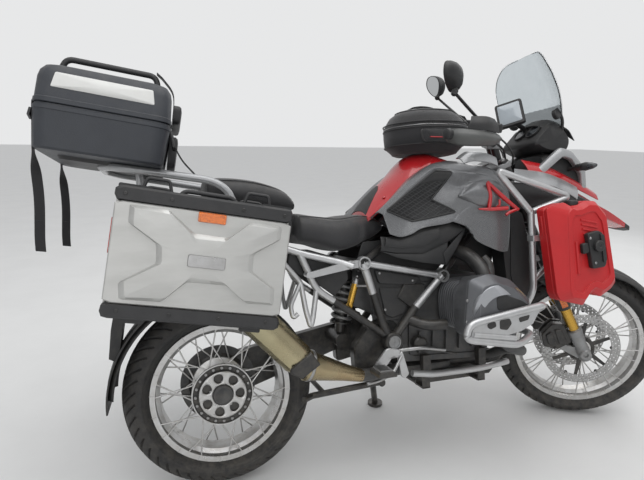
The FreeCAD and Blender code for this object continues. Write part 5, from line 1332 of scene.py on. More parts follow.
def pannier_pieces():
    """Metal panniers with their embossed cross, black ends, lashing loops, latch and reflectors."""
    for side, label in SIDES:
        lid_body = "pannier_lid_" + label
        tub = [stacked([box_ring(222, -160, 160, 20)] * 3, (255, 262, 401))]
        tub_ends = [stacked([box_ring(225, 127, 164, 12)] + [box_ring(225, 125, 164, 12)] * 2, (256, 270, 401.5)),
                    stacked([box_ring(225, -164, -125, 14)] * 3, (256, 270, 401.5))]
        face = [stacked([box_ring(222, -126, 126, 8), box_ring(222, -126, 126, 8), box_ring(219, -123, 123, 6)],
                        (402.4, 434, 437))]
        bead = np.asarray(CROSS, float)
        middle = unit(bead) * 9
        levels = [(bead + middle * 0.5, 435), (bead - middle * 1.3, 447), (bead - middle * 1.6, 447.6),
                  (bead * 0.5, 447.6), (bead * 0.02, 447.6)]
        outline = [ring_read(points, 160) for points, _ in levels]
        face.append(grid(np.stack([np.stack([flat[:, 0], np.full(160, depth), flat[:, 1]], 1)
                                   for flat, (_, depth) in zip(outline, levels)]), loop_columns=True))
        upper = [stacked([box_ring(225, 126, 164, 14), box_ring(225, 126, 164, 14), box_ring(219, 129, 158, 10)],
                         (402.4, 430, 439)),
                 stacked([box_ring(225, -164, -126, 16), box_ring(225, -164, -126, 16), box_ring(219, -158, -129, 12)],
                         (402.4, 430, 439))]
        loops = [pipe([(x - 36, y, 158), (x - 27, y, top), (x + 27, y, top), (x + 36, y, 158)], 9, 8)
                 for x in (-128, 128) for y, top in ((300, 176), (406, 192))]
        loops += [stacked([box_ring(40, 158, 170, 5) + (x, 0)] * 2, (396, 414)) for x in (-180, 182)]
        loops += [stacked([box_ring(34, 158, 172, 6) + (x, 0)] * 2, (300, 330)) for x in (-120, 120)]
        loops.append(pipe([(-72, 415, 158), (-60, 415, 172), (60, 415, 172), (72, 415, 158)], 12, 12))
        rivets = [bolts([(x, 439, -143) for x in (-186, -62, 62, 186)] +
                        [(x, 439, 144) for x in (-200, -90, 90, 200)], (0, 1, 0), 5, 2.5)]
        latch = [stacked([box_ring(48, -18, 15, 5) + (13, 0), box_ring(46, -16, 13, 5) + (13, 0)], (446, 452)),
                 stacked([box_ring(26, -8, 8, 4) + (13, 0)] * 2, (451, 455))]
        orange = [stacked([box_ring(36, 98, 125, 4) + (14, 0), box_ring(34, 100, 123, 4) + (14, 0)], (436, 444))]
        hinges = [stacked([box_ring(28, -176, -150, 4) + (x, 0)] * 2, (404, 416)) for x in (-150, 150)]
        rear_lens = [turned_level(stacked([box_ring(16, -46, 46, 5)] * 2, (-2, 4)), 90, (-226, 356, 36))]
        for name, sheets, tone, body in (
                ("pannier_tub_", tub, CASE_METAL, "chassis"), ("pannier_tub_ends_", tub_ends, CASE_BLACK, "chassis"),
                ("pannier_panel_", face, CASE_METAL, lid_body), ("pannier_lid_ends_", upper, CASE_BLACK, lid_body),
                ("pannier_loops_", loops, CASE_BLACK, "chassis"), ("pannier_rivets_", rivets, BLACK_METAL, lid_body),
                ("pannier_latch_", latch, STEEL, lid_body), ("pannier_reflector_", orange, ORANGE, lid_body),
                ("pannier_hinges_", hinges, CASE_BLACK, "chassis"),
                ("pannier_rear_lens_", rear_lens, RED_LENS, "chassis")):
            piece(name + label, [mirrored(sheet, side) for sheet in sheets], tone, body, PANNIER,
                  {"pannier_tub_": ("pannier_body_" + label,), "pannier_panel_": (lid_body,)}.get(name, ()),
                  sharp=28)


pannier_pieces()


def plan_ring(front, rear, half, corner, height, count=96):
    """Rounded plan outline of the top case at one height."""
    outline = rounded([(-front, -half), (-front, half), (-rear, half), (-rear, -half)], corner, 8, True)
    return np.column_stack([ring_read(outline, count), np.full(count, height)])


# webbing: width, thickness and the length that hangs free below the case
STRAP_WIDTH, STRAP_THICK, STRAP_TAIL = 27, 2.4, 290


def top_case_pieces():
    """Top case: ribbed tub, lid with two rails and a bare white band, latches, and the straps that hold it."""
    long, half = 362, 250
    tub = [closed_stack([plan_ring(14, long - 14, half - 18, 34, 0), plan_ring(10, long - 10, half - 12, 38, 6),
                         plan_ring(6, long - 6, half - 7, 42, 60), plan_ring(2, long - 2, half - 2, 44, 104),
                         plan_ring(0, long, half, 44, 106), plan_ring(0, long, half, 44, 116),
                         plan_ring(3, long - 3, half - 3, 44, 118), plan_ring(3, long - 3, half - 3, 44, 121)])]
    lid = [closed_stack([plan_ring(3, long - 3, half - 3, 44, 123), plan_ring(0, long, half, 44, 125),
                         plan_ring(0, long, half, 44, 136), plan_ring(3, long - 2, half - 3, 44, 139),
                         plan_ring(6, long - 4, half - 6, 42, 195), plan_ring(10, long - 8, half - 10, 42, 214),
                         plan_ring(20, long - 18, half - 20, 40, 228), plan_ring(34, long - 34, half - 34, 36, 234)])]
    ribs = [closed_stack([plan_ring(60, long - 60, 205, 20, 233), plan_ring(62, long - 62, 203, 20, 237)])]
    for y in (-80, 0, 80):
        ribs.append(closed_stack([plan_ring(80, long - 80, 22, 10, 236) + (0, y, 0),
                                  plan_ring(82, long - 82, 20, 10, 239) + (0, y, 0)]))
    rails, screws = [], []
    for side in BOTH:
        y = side * 150
        rails.append(pipe([(-46, y, 226), (-60, y, 272), (-(long - 58), y, 272), (-(long - 44), y, 226)], 17, 20))
        screws.append(bolts([(-48, y, 236), (-(long - 43), y, 236)], (0, 0, 1), 6, 4))
    band = []
    for side in BOTH:
        outline = rounded([(-50, 166), (-(long - 46), 166), (-(long - 54), 207), (-58, 207)], 4, 3, True)
        rows = []
        for scale, depth in ((0.0, 1.6), (0.97, 1.6), (1.0, 0.2), (1.0, -3)):
            flat = outline.mean(0) + (outline - outline.mean(0)) * scale
            rows.append(np.stack([flat[:, 0], side * (half - 2.5 - (flat[:, 1] - 136) * 0.06 + depth), flat[:, 1]], 1))
        band.append(grid(np.stack(rows), loop_columns=True))
    latches = []
    for y in (-120, 120):
        latches.append(stacked([box_ring(22, 84, 164, 6)] * 3, (0, 6, 9)))
        latches[-1] = (latches[-1][0] @ turn_about((0, 0, 1), 90).T * (-1, 1, 1) + (-long, y, 0), latches[-1][1])
    rests = []
    for low, high in ((14, 110), (150, 208)):
        points, quads = stacked([box_ring(118, low, high, 16), box_ring(118, low, high, 16),
                                 box_ring(114, low + 4, high - 4, 14), box_ring(98, low + 16, high - 16, 10)],
                                (0, 17, 23, 26))
        rests.append((points @ turn_about((0, 0, 1), -90).T, quads))
    feet = [closed_stack([plan_ring(60, long - 60, 120, 20, -10), plan_ring(55, long - 55, 130, 20, 1)])]
    piece("top_case_tub", tub, CASE_DARK, "chassis", TOP_CASE, ("top_case_body",), sharp=30)
    piece("top_case_cover", lid, CASE_DARK, "top_case_lid", TOP_CASE, ("top_case_lid",), sharp=30)
    piece("top_case_ribs", ribs, CASE_DARK, "top_case_lid", TOP_CASE, sharp=30)
    piece("top_case_rails", rails, CASE_BLACK, "top_case_lid", TOP_CASE, bevel=1)
    piece("top_case_screws", screws, STEEL, "top_case_lid", TOP_CASE)
    piece("top_case_band", band, WHITE, "top_case_lid", TOP_CASE, sharp=50)
    piece("top_case_latches", latches, CASE_BLACK, "chassis", TOP_CASE, bevel=1)
    piece("top_case_backrest", rests[:1], CASE_BLACK, "chassis", TOP_CASE)
    piece("top_case_backrest_upper", rests[1:], CASE_BLACK, "top_case_lid", TOP_CASE)
    piece("top_case_feet", feet, CASE_BLACK, "chassis", TOP_CASE)

    inverse = np.linalg.inv(TOP_CASE)[:3, :3]
    down = inverse @ np.array([0, 0, -1.0])
    bands, hems, buckles = [], [], []
    for side in BOTH:
        top = np.array([-long - 1.7, side * 195, 122])
        edge = np.array([-long + 12.3, side * 195, 0])
        steps = np.linspace(0, 1, 40)[:, None]
        hang = edge + down * STRAP_TAIL * steps
        hang = hang + np.array([1.0, 0, 0.16]) * (7 * np.sin(steps * math.pi * 1.6) * steps)
        path = spline(np.vstack([top + (3, 0, 10), top, (top + edge) / 2, edge, hang[4::6], hang[-1:]]), 6)
        twist = np.clip((path[:, 2:] + 10) / -70, 0, 1)
        across = (1 - twist) * np.array([0, 1.0, 0]) + twist * np.array([0.97, 0.22, 0])
        bands.append(strip(path, across, STRAP_WIDTH, STRAP_THICK))
        hems.append(strip(path[-14:] + (0, -1.8, 0), across[-14:], 26, 1.6))
        buckles.append(aimed(slab([(-17, -11), (17, -11), (17, 11), (-17, 11)], -4, 3, 1), top + (-4, 0, -28),
                             (-1, 0, 0.1)))
    piece("case_straps", bands + hems, CLOTH, "chassis", TOP_CASE, ("strap_rear_right", "strap_rear_left"),
          sharp=60)
    piece("case_buckles", buckles, CASE_BLACK, "chassis", TOP_CASE)
    run, over = (strip(spline(line, 10), (0, 1, 0), STRAP_WIDTH, STRAP_THICK) for line in (
        [(0.8, -162.5, 116), (2, -162, 100), (40, -150, 40), (92, -132, -4)],
        [(-58, -150, 281), (-34, -152, 262), (-4, -160, 222), (1.5, -162, 150), (1.2, -162.5, 124)]))
    piece("case_front_strap", [run], CLOTH, "chassis", TOP_CASE, sharp=60)
    piece("case_front_strap_upper", [over], CLOTH, "top_case_lid", TOP_CASE, sharp=60)
    clip = aimed(soft_slab([(-18, -28), (18, -28), (18, 28), (-18, 28)], 6, 3, -5, 6, 2), (8, -161, 88),
                 (1, 0, 0.35))
    piece("case_front_buckle", [clip], CASE_BLACK, "chassis", TOP_CASE)


top_case_pieces()


def rack_pieces():
    """Tubular grab rails and luggage rack under the top case."""
    def under(back, across):
        """Point under the case's floor, by its distance back and across."""
        return tuple(TOP_CASE_AT + TOP_CASE_TILT @ np.array([-back, across, -12.2]))

    tubes = []
    for side in BOTH:
        tubes += [pipe([(56, side * 168, 880.2), (56, side * 168, 930), (38, side * 168, 985), (-10, side * 167, 1017),
                        under(18, side * 150), under(150, side * 132), under(190, side * 60)], 24, 35),
                  pipe([under(80, side * 141), under(80, side * 70)], 18),
                  pipe([(under(80, side * 80)[0], side * 80, 955.2), under(80, side * 80)], 20)]
    tubes += [pipe([under(190, -62), under(190, 62)], 24), pipe([under(80, -80), under(80, 80)], 18)]
    piece("rack_tubes", tubes, PALE, replaces=("luggage_rack",))


rack_pieces()


# Tank bag


def bag_pieces():
    """Tank bag as a loft of its outlines up to a domed lid, with piping, zip, pockets and handle."""
    def outline(rows, height, spread=1.0):
        """Level outline of one side's (x, y) points and their mirror image, spread about its middle."""
        right = np.asarray(rows, float)
        closed = np.vstack([right, right[::-1] * (1, -1)])
        flat = spline(closed, 6, closed=True)
        flat = flat.mean(0) + (flat - flat.mean(0)) * spread
        return np.column_stack([ring_read(flat, 96), np.full(96, height)])

    low = [(690, -30), (715, -60), (760, -95), (880, -90), (930, -50)]
    mid = [(664, -32), (705, -88), (765, -124), (882, -118), (950, -62)]
    wide = [(662, -35), (705, -93), (765, -130), (892, -126), (968, -68)]
    high = [(680, -32), (712, -83), (770, -118), (885, -112), (940, -58)]
    top = [(715, -25), (745, -58), (790, -85), (870, -82), (905, -45)]
    stack = [outline(low, 1118, 0.97), outline(low, 1123), outline(mid, 1146), outline(wide, 1180), outline(wide, 1212),
             outline(wide, 1213, 0.985), outline(wide, 1216, 0.985), outline(wide, 1217, 1.0), outline(high, 1248),
             outline(high, 1260, 0.93), outline(top, 1278), outline(top, 1284, 0.82), outline(top, 1286, 0.4)]
    piece("bag_body", [closed_stack(stack)], CLOTH, replaces=("tank_bag",), sharp=60)
    lines = []
    for rows, height, spread, thick in (
            (wide, 1206, 1.0, 5), (wide, 1226, 1.0, 5), (top, 1276, 1.06, 4), (mid, 1146, 1.005, 4)):
        line = outline(rows, height, spread)
        lines.append(pipe(np.vstack([line, line[:1]]), thick, 1, 8))
    piece("bag_piping", lines, BLACK)
    teeth = [outline(wide, 1214.5 + rise, 0.995) for rise in (-1.5, 1.5)]
    piece("bag_zip", [grid(np.stack(teeth), loop_columns=True)], STEEL, wall=1.5)
    handle = strip(spline([(745, 0, 1280), (765, 0, 1296), (810, 0, 1302), (855, 0, 1296), (875, 0, 1278)], 8),
                   (0, 1, 0), 26, 4)
    piece("bag_handle", [handle], CLOTH)
    patches = []
    for side in BOTH:
        patches.append(outline_rings([[(745, 1152), (880, 1152), (892, 1196), (735, 1196)]] * 2 +
                                     [[(755, 1158), (872, 1158), (880, 1190), (745, 1190)]], (114, 134, 138), side, 12))
    piece("bag_pockets", patches, CLOTH, sharp=50)
    trims = [tube(side, [(766, 139.5, 1166), (858, 137.5, 1166)], 4, 3) for side in BOTH]
    piece("bag_trim", trims, RED)


bag_pieces()


# Canister, radiators and front bodywork


def canister():
    """Flat fuel canister: a skin of outlines from back to stepped face, with ribs, cap and clamp."""
    edge = [(1078, 890), (1092, 898), (1150, 912), (1178, 898), (1212, 902), (1238, 916), (1284, 913), (1332, 866),
            (1372, 622), (1352, 600), (1302, 574), (1268, 594), (1244, 586), (1228, 550), (1130, 575), (1116, 600)]
    face = [(1150, 868), (1156, 880), (1170, 892), (1188, 884), (1214, 888), (1242, 902), (1276, 900), (1316, 858),
            (1352, 640), (1336, 618), (1300, 598), (1268, 612), (1246, 602), (1222, 572), (1168, 582), (1156, 602)]
    inner = [(1166, 846), (1172, 856), (1182, 866), (1196, 864), (1214, 866), (1244, 876), (1268, 874), (1296, 840),
             (1330, 656), (1318, 640), (1296, 624), (1270, 636), (1240, 626), (1214, 598), (1180, 604), (1172, 620)]

    def level(corners, depth, scale=1.0):
        """Rounded outline at one distance out on the right, scaled about its middle."""
        flat = np.asarray(corners, float)
        flat = flat.mean(0) + (flat - flat.mean(0)) * scale
        flat = rounded(flat, 7, 4, True)
        return np.stack([flat[:, 0], np.full(len(flat), -depth), flat[:, 1]], 1)

    rows = [level(*row) for row in (
        (edge, 299, 0.001), (edge, 299, 0.97), (edge, 303), (edge, 334), (edge, 336, 0.985), (edge, 338, 0.985),
        (edge, 340), (edge, 352), (face, 369), (face, 372, 0.985), (inner, 372, 1.01), (inner, 367),
        (inner, 367, 0.001))]
    piece("canister_body", [grid(np.stack(rows), loop_columns=True)], CAN_RED, replaces=("fuel_can",),
          bevel=1, sharp=32)
    ribs = [pipe([(1206 + 3 * k, -366.5, 850 - 16 * k), (1276 + 2 * k, -366.5, 836 - 16 * k)], 8, 3) for k in range(4)]
    ribs += [pipe([(1186, -367, 776), (1196, -367, 664)], 12, 3), pipe([(1294, -367, 806), (1310, -367, 716)], 12, 3),
             pipe([(1082, -320, 868), (1132, -320, 590)], 10, 3), pipe([(1112, -354, 868), (1152, -354, 600)], 6, 3)]
    piece("canister_ribs", ribs, CAN_RED)
    clamp = [soft_slab([(1216, 802), (1262, 812), (1284, 800), (1298, 700), (1292, 684), (1238, 680)], 8, 4,
                       368, 388, 3, -1),
             soft_slab([(1198, 768), (1222, 772), (1228, 736), (1202, 732)], 6, 3, 368, 384, 3, -1),
             turned([(0, 0), (0, 20), (12, 20), (15, 16), (15, 6), (13, 5), (13, 0)], 24, (1258, -386, 758),
                    (0, -1, 0)),
             soft_slab([(1266, 800), (1282, 796), (1294, 706), (1280, 700)], 4, 3, 388, 393, 1.5, -1)]
    piece("canister_clamp", clamp, BLACK, bevel=0.8)
    screws = bolts([(1226, -388, 786), (1248, -388, 700), (1284, -388, 706)], (0, -1, 0), 4.5, 3)
    piece("canister_clamp_bolts", [screws], STEEL)
    cap = turned([(-4, 0), (-4, 21), (6, 24), (16, 24), (20, 20), (20, 0)], 20, (1204, -326, 898), (0.1, 0, 1))
    piece("canister_cap", [cap], BLACK)


canister()


def radiators():
    """Radiator shrouds with a slatted core in each, and the front turn signals."""
    shells, slats, lamps, bodies = [], [], [], []
    for side in BOTH:
        shape = [(1037, 891), (1105, 886), (1148, 700), (1138, 558), (1062, 562), (1032, 640), (1020, 745)]
        shells.append(outline_rings([shape, shape, shape, np.array(shape) * (0.995, 1) + (3, 0)],
                                    (125, 128, 190, 199), side, 16))
        front = [(1050, 872), (1092, 868), (1132, 700), (1124, 578), (1072, 580), (1046, 650)]
        shells.append(outline_rings([front, front], (198, 203), side, 12))
        for step in range(16):
            z = 584 + 17.5 * step
            x = 1124 + 14 * (1 - abs(z - 700) / 160) if z < 860 else 1110
            slats.append(slab([(x - 6, z), (x + 13, z - 4), (x + 13, z - 1), (x - 6, z + 3)], 132, 192, 0.6, side))
        lamps.append(turned([(22, 14.8), (36, 13), (50, 6), (54, 0)], 20, (1392, side * 196, 1050),
                            (0.35, side, 0.02)))
        bodies.append(tube(side, [(1400, 112, 1046), (1392, 160, 1050), (1391, 198, 1050)], [15, 13, 24, 30], 8))
        bodies.append(turned([(0, 0), (0, 15), (8, 17), (22, 14.8)], 20, (1392, side * 196, 1050),
                             (0.35, side, 0.02)))
    piece("radiator_shells", shells, BLACK, replaces=("radiator_right", "radiator_left"), sharp=40)
    piece("radiator_slats", slats, BLACK_METAL)
    piece("front_turn_lamps", lamps, DISPLAY)
    piece("front_turn_stalks", bodies, BLACK)


radiators()


def beak_section(x, half, low, high, fall=0.35, count=41):
    """Roof-shaped section: height falls from its ridge to its edges as |y|^2.4, closed beneath."""
    t = np.linspace(-1, 1, count)
    top = np.stack([np.full(count, x), half * t, high - (high - low) * fall * np.abs(t) ** 2.4], 1)
    t = np.linspace(1, -1, 13)
    under = np.stack([np.full(13, x), half * 0.94 * t, low + (high - low) * 0.12 * np.abs(t)], 1)
    return np.vstack([top, under])


SCREEN_ROWS = (
    # height, place along the machine, half width, how far the sides sweep back
    (1232, 1422, 86, 26), (1262, 1407, 118, 38), (1330, 1372, 172, 60), (1400, 1345, 174, 62), (1460, 1323, 152, 54),
    (1500, 1309, 122, 38), (1518, 1303, 92, 25), (1526, 1300, 52, 10))


def front_body():
    """Beak, nose panels, fairing wings, headlight, dash with its navigator, and the tall screen."""
    beak = [beak_section(*row) for row in (
        (1316, 100, 938, 1020), (1400, 102, 920, 1006), (1480, 99, 884, 972), (1570, 88, 852, 928),
        (1650, 75, 830, 892), (1730, 58, 806, 850), (1768, 48, 795, 830))]
    tip = [beak_section(*row) for row in ((1764, 49, 794, 832), (1795, 40, 786, 816), (1810, 30, 783, 806))]
    piece("beak_shell", [loft(beak, 6, columns=72)], RED, replaces=("beak",), sharp=40)
    piece("beak_tip", [loft(tip, 4, columns=72)], BLACK)
    greys, blacks, reds, wings = [], [], [], []
    for side in BOTH:
        reds.append(mirrored(skin([[(1180, 106, 1088), (1290, 106, 1068), (1379, 104, 1036), (1470, 98, 996),
                                    (1548, 90, 958)],
                                   [(1184, 128, 1062), (1290, 132, 1042), (1379, 132, 1012), (1470, 122, 976),
                                    (1552, 104, 942)],
                                   [(1190, 138, 1036), (1290, 142, 1014), (1379, 140, 984), (1470, 128, 950),
                                    (1556, 108, 922)]], 5, 30), side))
        greys.append(mirrored(skin([[(1130, 128, 1052), (1250, 140, 1036), (1340, 142, 1008), (1420, 136, 975)],
                                    [(1100, 164, 1020), (1240, 186, 1002), (1330, 184, 972), (1392, 170, 946)],
                                    [(1080, 190, 996), (1230, 208, 978), (1310, 204, 950), (1372, 186, 926)]], 5, 30),
                              side))
        blacks.append(mirrored(skin([
            [(1040, 180, 998), (1130, 190, 1002), (1230, 204, 980), (1310, 200, 952), (1372, 182, 928)],
            [(1030, 184, 950), (1120, 194, 950), (1225, 204, 935), (1310, 196, 915), (1385, 170, 902)],
            [(1036, 168, 900), (1120, 176, 895), (1220, 178, 905), (1310, 168, 892), (1395, 140, 886)]], 5, 30), side))
        blacks.append(mirrored(skin([[(1130, 60, 1010), (1250, 80, 1015), (1400, 80, 975), (1540, 60, 925)],
                                     [(1130, 130, 1000), (1250, 140, 990), (1400, 128, 950), (1540, 98, 905)],
                                     [(1130, 110, 930), (1250, 120, 920), (1400, 110, 890), (1540, 85, 860)]], 4, 24),
                               side))
        arch = rounded([(1232, 128, 1044), (1340, 138, 1132), (1392, 140, 1118), (1470, 128, 1050), (1484, 118, 975)],
                       12, 4)
        hollow = rounded([(1262, 136, 1034), (1346, 146, 1098), (1384, 148, 1088), (1442, 136, 1034),
                          (1456, 126, 970)], 8, 4)
        back = [(x, y - 22, z - 3) for x, y, z in hollow]
        wings.append(mirrored(skin([[(x, y - 24, z - 2) for x, y, z in arch], arch, hollow, back], 3, 46, False), side))
        blacks.append(mirrored(skin([[(1250, 112, 1040), (1330, 112, 1100), (1400, 112, 1090), (1460, 112, 1040)],
                                     [(1252, 118, 1000), (1330, 118, 1010), (1400, 118, 1000), (1460, 116, 975)]], 6,
                                    20), side))
    piece("beak_edges", reds, RED, wall=4, bevel=1)
    piece("nose_panels", greys, PALE, wall=4, bevel=1)
    piece("nose_covers", blacks, BLACK, wall=4)
    piece("fairing_wings", wings, PALE, replaces=("fairing_side_right", "fairing_side_left"), wall=4,
          bevel=1)

    shell = [ring_section(x, half, low, high, 5, 48) for x, half, low, high in (
        (1300, 84, 990, 1110), (1330, 100, 986, 1118), (1440, 104, 986, 1102), (1484, 98, 988, 1080))]
    glass = [ring_section(x, half, low, high, 4, 48) for x, half, low, high in (
        (1478, 92, 992, 1072), (1496, 88, 996, 1068), (1504, 76, 1004, 1058))]
    piece("headlight_shell", [loft(shell, 3)], BLACK, replaces=("headlight",), sharp=45)
    piece("headlight_glass", [loft(glass, 3)], LENS, sharp=60)
    bowls = [turned_level(lathe([(-22, 8), (-14, 22), (4, 31), (6, 33), (4, 36)], 32), -90, (1480, y, 1030))
             for y in (-40, 40)]
    piece("headlight_bowls", bowls, WHEEL)

    dash = [outline_rings([[(1240, 1152), (1300, 1123), (1400, 1113), (1428, 1168), (1385, 1222), (1330, 1242)]] * 2 +
                          [[(1250, 1158), (1300, 1130), (1395, 1120), (1418, 1168), (1380, 1212), (1330, 1230)]],
                          (-1, 96, 106), side, 26) for side in BOTH]
    hood = np.array([(1296, 0, 1236), (1345, 0, 1262), (1392, 0, 1250), (1424, 0, 1206)], float)
    dash.append(skin([hood + shift for shift in (
        (22, -100, -40), (4, -60, -8), (0, 0, 0), (4, 60, -8), (22, 100, -40))], 6, 24))
    piece("dash_shell", dash, BLACK, replaces=("cockpit",), wall=3, sharp=45)
    for name, profile, tone in (
            ("dash_gauges", [(0, 0), (0, 30), (4, 33), (10, 33), (10, 28), (6, 27), (6, 0)], BLACK),
            ("gauge_faces", [(7, 0), (7, 27)], DISPLAY)):
        piece(name, [turned(profile, 32, (1294, y, 1206), (-0.75, 0, 0.66)) for y in (-45, 28)], tone)
    wide, normal = unit(np.array([0.68, -0.70, 0.20])), unit(np.array([-0.70, -0.66, 0.28]))
    normal = unit(normal - wide * (normal @ wide))
    high = np.cross(normal, wide)
    high = high if high[2] > 0 else -high
    middle = np.array([1206, -12, 1284.0])

    def panel(half_wide, half_high, near, far, bend):
        """Rounded box square to the navigator's own normal."""
        outline = rounded([(-half_wide, -half_high), (half_wide, -half_high), (half_wide, half_high),
                           (-half_wide, half_high)], bend, 4, True)
        rings = []
        for scale, depth in ((0.0, near), (0.96, near), (1.0, near + (far - near) * 0.25),
                             (1.0, near + (far - near) * 0.8), (0.97, far), (0.0, far)):
            rings.append(middle + outline[:, :1] * scale * wide + outline[:, 1:] * scale * high + normal * depth)
        return grid(np.stack(rings), loop_columns=True)

    piece("navigator_case", [panel(53, 54, -14, 8, 10)], BLACK, bevel=0.8)
    piece("navigator_screen", [panel(43, 43, 6, 9.2, 4)], NAV_SCREEN)
    arm = [pipe([middle - normal * 12, middle - normal * 30 - high * 18, (1290, 10, 1232), (1310, 20, 1205)], 20, 12)]
    arm.append(turned([(-10, 0), (-10, 15), (10, 15), (10, 0)], 20, middle - normal * 24, normal))
    piece("navigator_arm", arm, BLACK_METAL)

    chains = []
    t = np.linspace(-1, 1, 13)
    for height, place_x, half, sweep in SCREEN_ROWS:
        chains.append(np.stack([place_x - sweep * t ** 2, half * t, height - 4 * t ** 2], 1))
    screen = skin(chains, 5, 49, smooth=False)
    piece("tall_screen", [screen], SMOKED, replaces=("windshield",), wall=3.4, sharp=60)
    rim = []
    for side in BOTH:
        edge = [(x - sweep, side * half, z - 4) for z, x, half, sweep in SCREEN_ROWS[:-1]]
        rim.append(pipe(edge + [(1297, side * 48, 1524)], 4.5, smooth=True, sides=8))
    piece("screen_rim", rim, LENS)
    stays = [tube(side, [(1390, 88, 1180), (1372, 120, 1250), (1338, 122, 1286)], 12, 30)
             for side in BOTH]
    knobs = [turned([(0, 0), (0, 20), (14, 20), (17, 16), (17, 0)], 12, (1332, side * 118, 1262), (0.3, side, 0.2))
             for side in BOTH]
    piece("screen_stays", stays + knobs, BLACK)


front_body()


# Handlebar and mirrors, drawn straight ahead and steered


def bar_pieces():
    """Handlebar with grips, levers, switches and hand guards, and the two mirrors on their stalks."""
    tubes, grips, blacks, steels, guards, shields, cords = [], [], [], [], [], [], []
    shells, glasses, stalks = [], [], []
    tubes.append(pipe([(1107, -2, 1163), (1107, 60, 1163), (1092, 175, 1196), (985, 375, 1216),
                       (905, 448, 1224)], 22, 60))
    start, end = np.array([986, 372, 1216.0]), np.array([902, 450, 1225.0])
    long = np.linalg.norm(end - start)
    stations = np.linspace(0, long, 60)
    radius = 16.5 + 0.9 * np.sin(stations * 1.1)
    radius[[0, 1, -1, -2]] = (0, 19, 0, 17)
    grips.append(turned(np.column_stack([stations, radius]), 24, start, end - start))
    blacks.append(turned([(0, 0), (0, 16), (8, 18), (22, 16), (26, 10), (26, 0)], 24, end, end - start))
    blacks.append(turned([(-52, 0), (-52, 17), (-46, 21), (-6, 21), (-2, 18), (-2, 0)], 20, start,
                         end - start))
    blacks.append(slab([(992, 1192), (1034, 1190), (1040, 1222), (1000, 1236)], 328, 364, 3))
    blacks.append(turned([(0, 0), (0, 24), (5, 26), (26, 26), (30, 22), (30, 0)], 24,
                         (1062, 296, 1222), (0.1, 0, 1)))
    blacks.append(pipe([(1024, 330, 1206), (1062, 296, 1222)], 18, 5))
    steels.append(pipe([(1044, 318, 1206), (1040, 352, 1204), (982, 430, 1208), (938, 468, 1212)],
                       [15, 13, 9, 8, 11], 20))
    guards.append(skin([[(888, 440, 1240), (930, 462, 1243), (990, 446, 1236), (1045, 390, 1226),
                         (1078, 306, 1214)],
                        [(880, 448, 1224), (930, 476, 1222), (996, 460, 1216), (1054, 400, 1206),
                         (1088, 306, 1200)],
                        [(892, 440, 1200), (930, 462, 1190), (990, 446, 1186), (1045, 390, 1184),
                         (1080, 306, 1190)]], 5, 36))
    guards.append(pipe([(896, 450, 1220), (925, 470, 1218), (996, 454, 1213), (1052, 396, 1206),
                        (1085, 306, 1200), (1092, 210, 1192)], 12, 30))
    shields.append(skin([[(966, 430, 1280), (1016, 405, 1278), (1050, 360, 1268)],
                         [(960, 452, 1262), (1020, 424, 1258), (1062, 366, 1248)],
                         [(950, 460, 1240), (1016, 432, 1234), (1066, 374, 1222)]], 5, 24))
    cords.append(pipe([(1020, 320, 1214), (1058, 240, 1196), (1130, 130, 1150), (1160, 60, 1080)], 8,
                      smooth=True))
    cords.append(pipe([(1030, 300, 1220), (1110, 200, 1190), (1170, 110, 1130), (1182, 60, 1060)], 7,
                      smooth=True))
    stalks.append(pipe([(1050, 225, 1190), (1042, 232, 1240), (958, 312, 1318), (922, 348, 1352)], 11, 15))
    stalks.append(turned([(0, 0), (0, 14), (18, 14), (22, 10), (22, 0)], 16, (1050, 226, 1196),
                         (0.0, 0.05, 1)))
    stalks.append(turned([(-12, 0), (-12, 11), (12, 11), (12, 0)], 16, (919, 351, 1356), (0, 1, 0.3)))

    def mirror_ring(x, grow):
        """Egg-shaped outline of the mirror at one depth, tipped by 14 degrees and turned in towards the rider."""
        flat = oval(82 * grow, 43 * grow, 2.4, 48)
        drop = 1 - 0.22 * (flat[:, 0] / 86)
        tilt = math.radians(14)
        y = flat[:, 0] * math.cos(tilt) - flat[:, 1] * drop * math.sin(tilt)
        z = flat[:, 0] * math.sin(tilt) + flat[:, 1] * drop * math.cos(tilt)
        return np.stack([x - 0.30 * y, 356 + y, 1408 + z], 1)

    shell = [mirror_ring(896, 0.93), mirror_ring(896, 0.97), mirror_ring(899, 1.0), mirror_ring(912, 0.98),
             mirror_ring(926, 0.84), mirror_ring(936, 0.60), mirror_ring(941, 0.28), mirror_ring(942, 0.02)]
    shells.append(grid(np.stack(shell), loop_columns=True))
    glasses.append(grid(np.stack([mirror_ring(897.5, 0.94), mirror_ring(897.5, 0.5), mirror_ring(897.5, 0.0)]),
                        loop_columns=True))
    points, quads = slab([(-24, -66), (24, -66), (24, 66), (-24, 66)], -17, 17, 3)
    piece("bar_clamp", [(points[:, [0, 2, 1]] + (1107, 0, 1163), quads)], CASTING, "steering", STEERED, bevel=2)
    piece("bar_tube", both(tubes), BLACK_METAL, "steering", STEERED, ("handlebar",))
    piece("bar_grips", both(grips), BLACK, "steering", STEERED)
    piece("bar_controls", both(blacks), BLACK, "steering", STEERED)
    piece("bar_levers", both(steels), STEEL, "steering", STEERED)
    piece("hand_guards", both(guards), GUARD_GREY, "steering", STEERED, wall=4)
    piece("hand_shields", both(shields), BLACK, "steering", STEERED, wall=3.5, bevel=1)
    piece("bar_hoses", both(cords), BLACK_METAL, "steering", STEERED)
    piece("mirror_stalks", both(stalks), BLACK_METAL, "steering", STEERED)
    piece("mirror_shells", both(shells), BLACK, "steering", STEERED, ("mirror_right", "mirror_left"), sharp=60)
    piece("mirror_glasses", both(glasses), GLASS, "steering", STEERED)


bar_pieces()


# Floor, light and camera


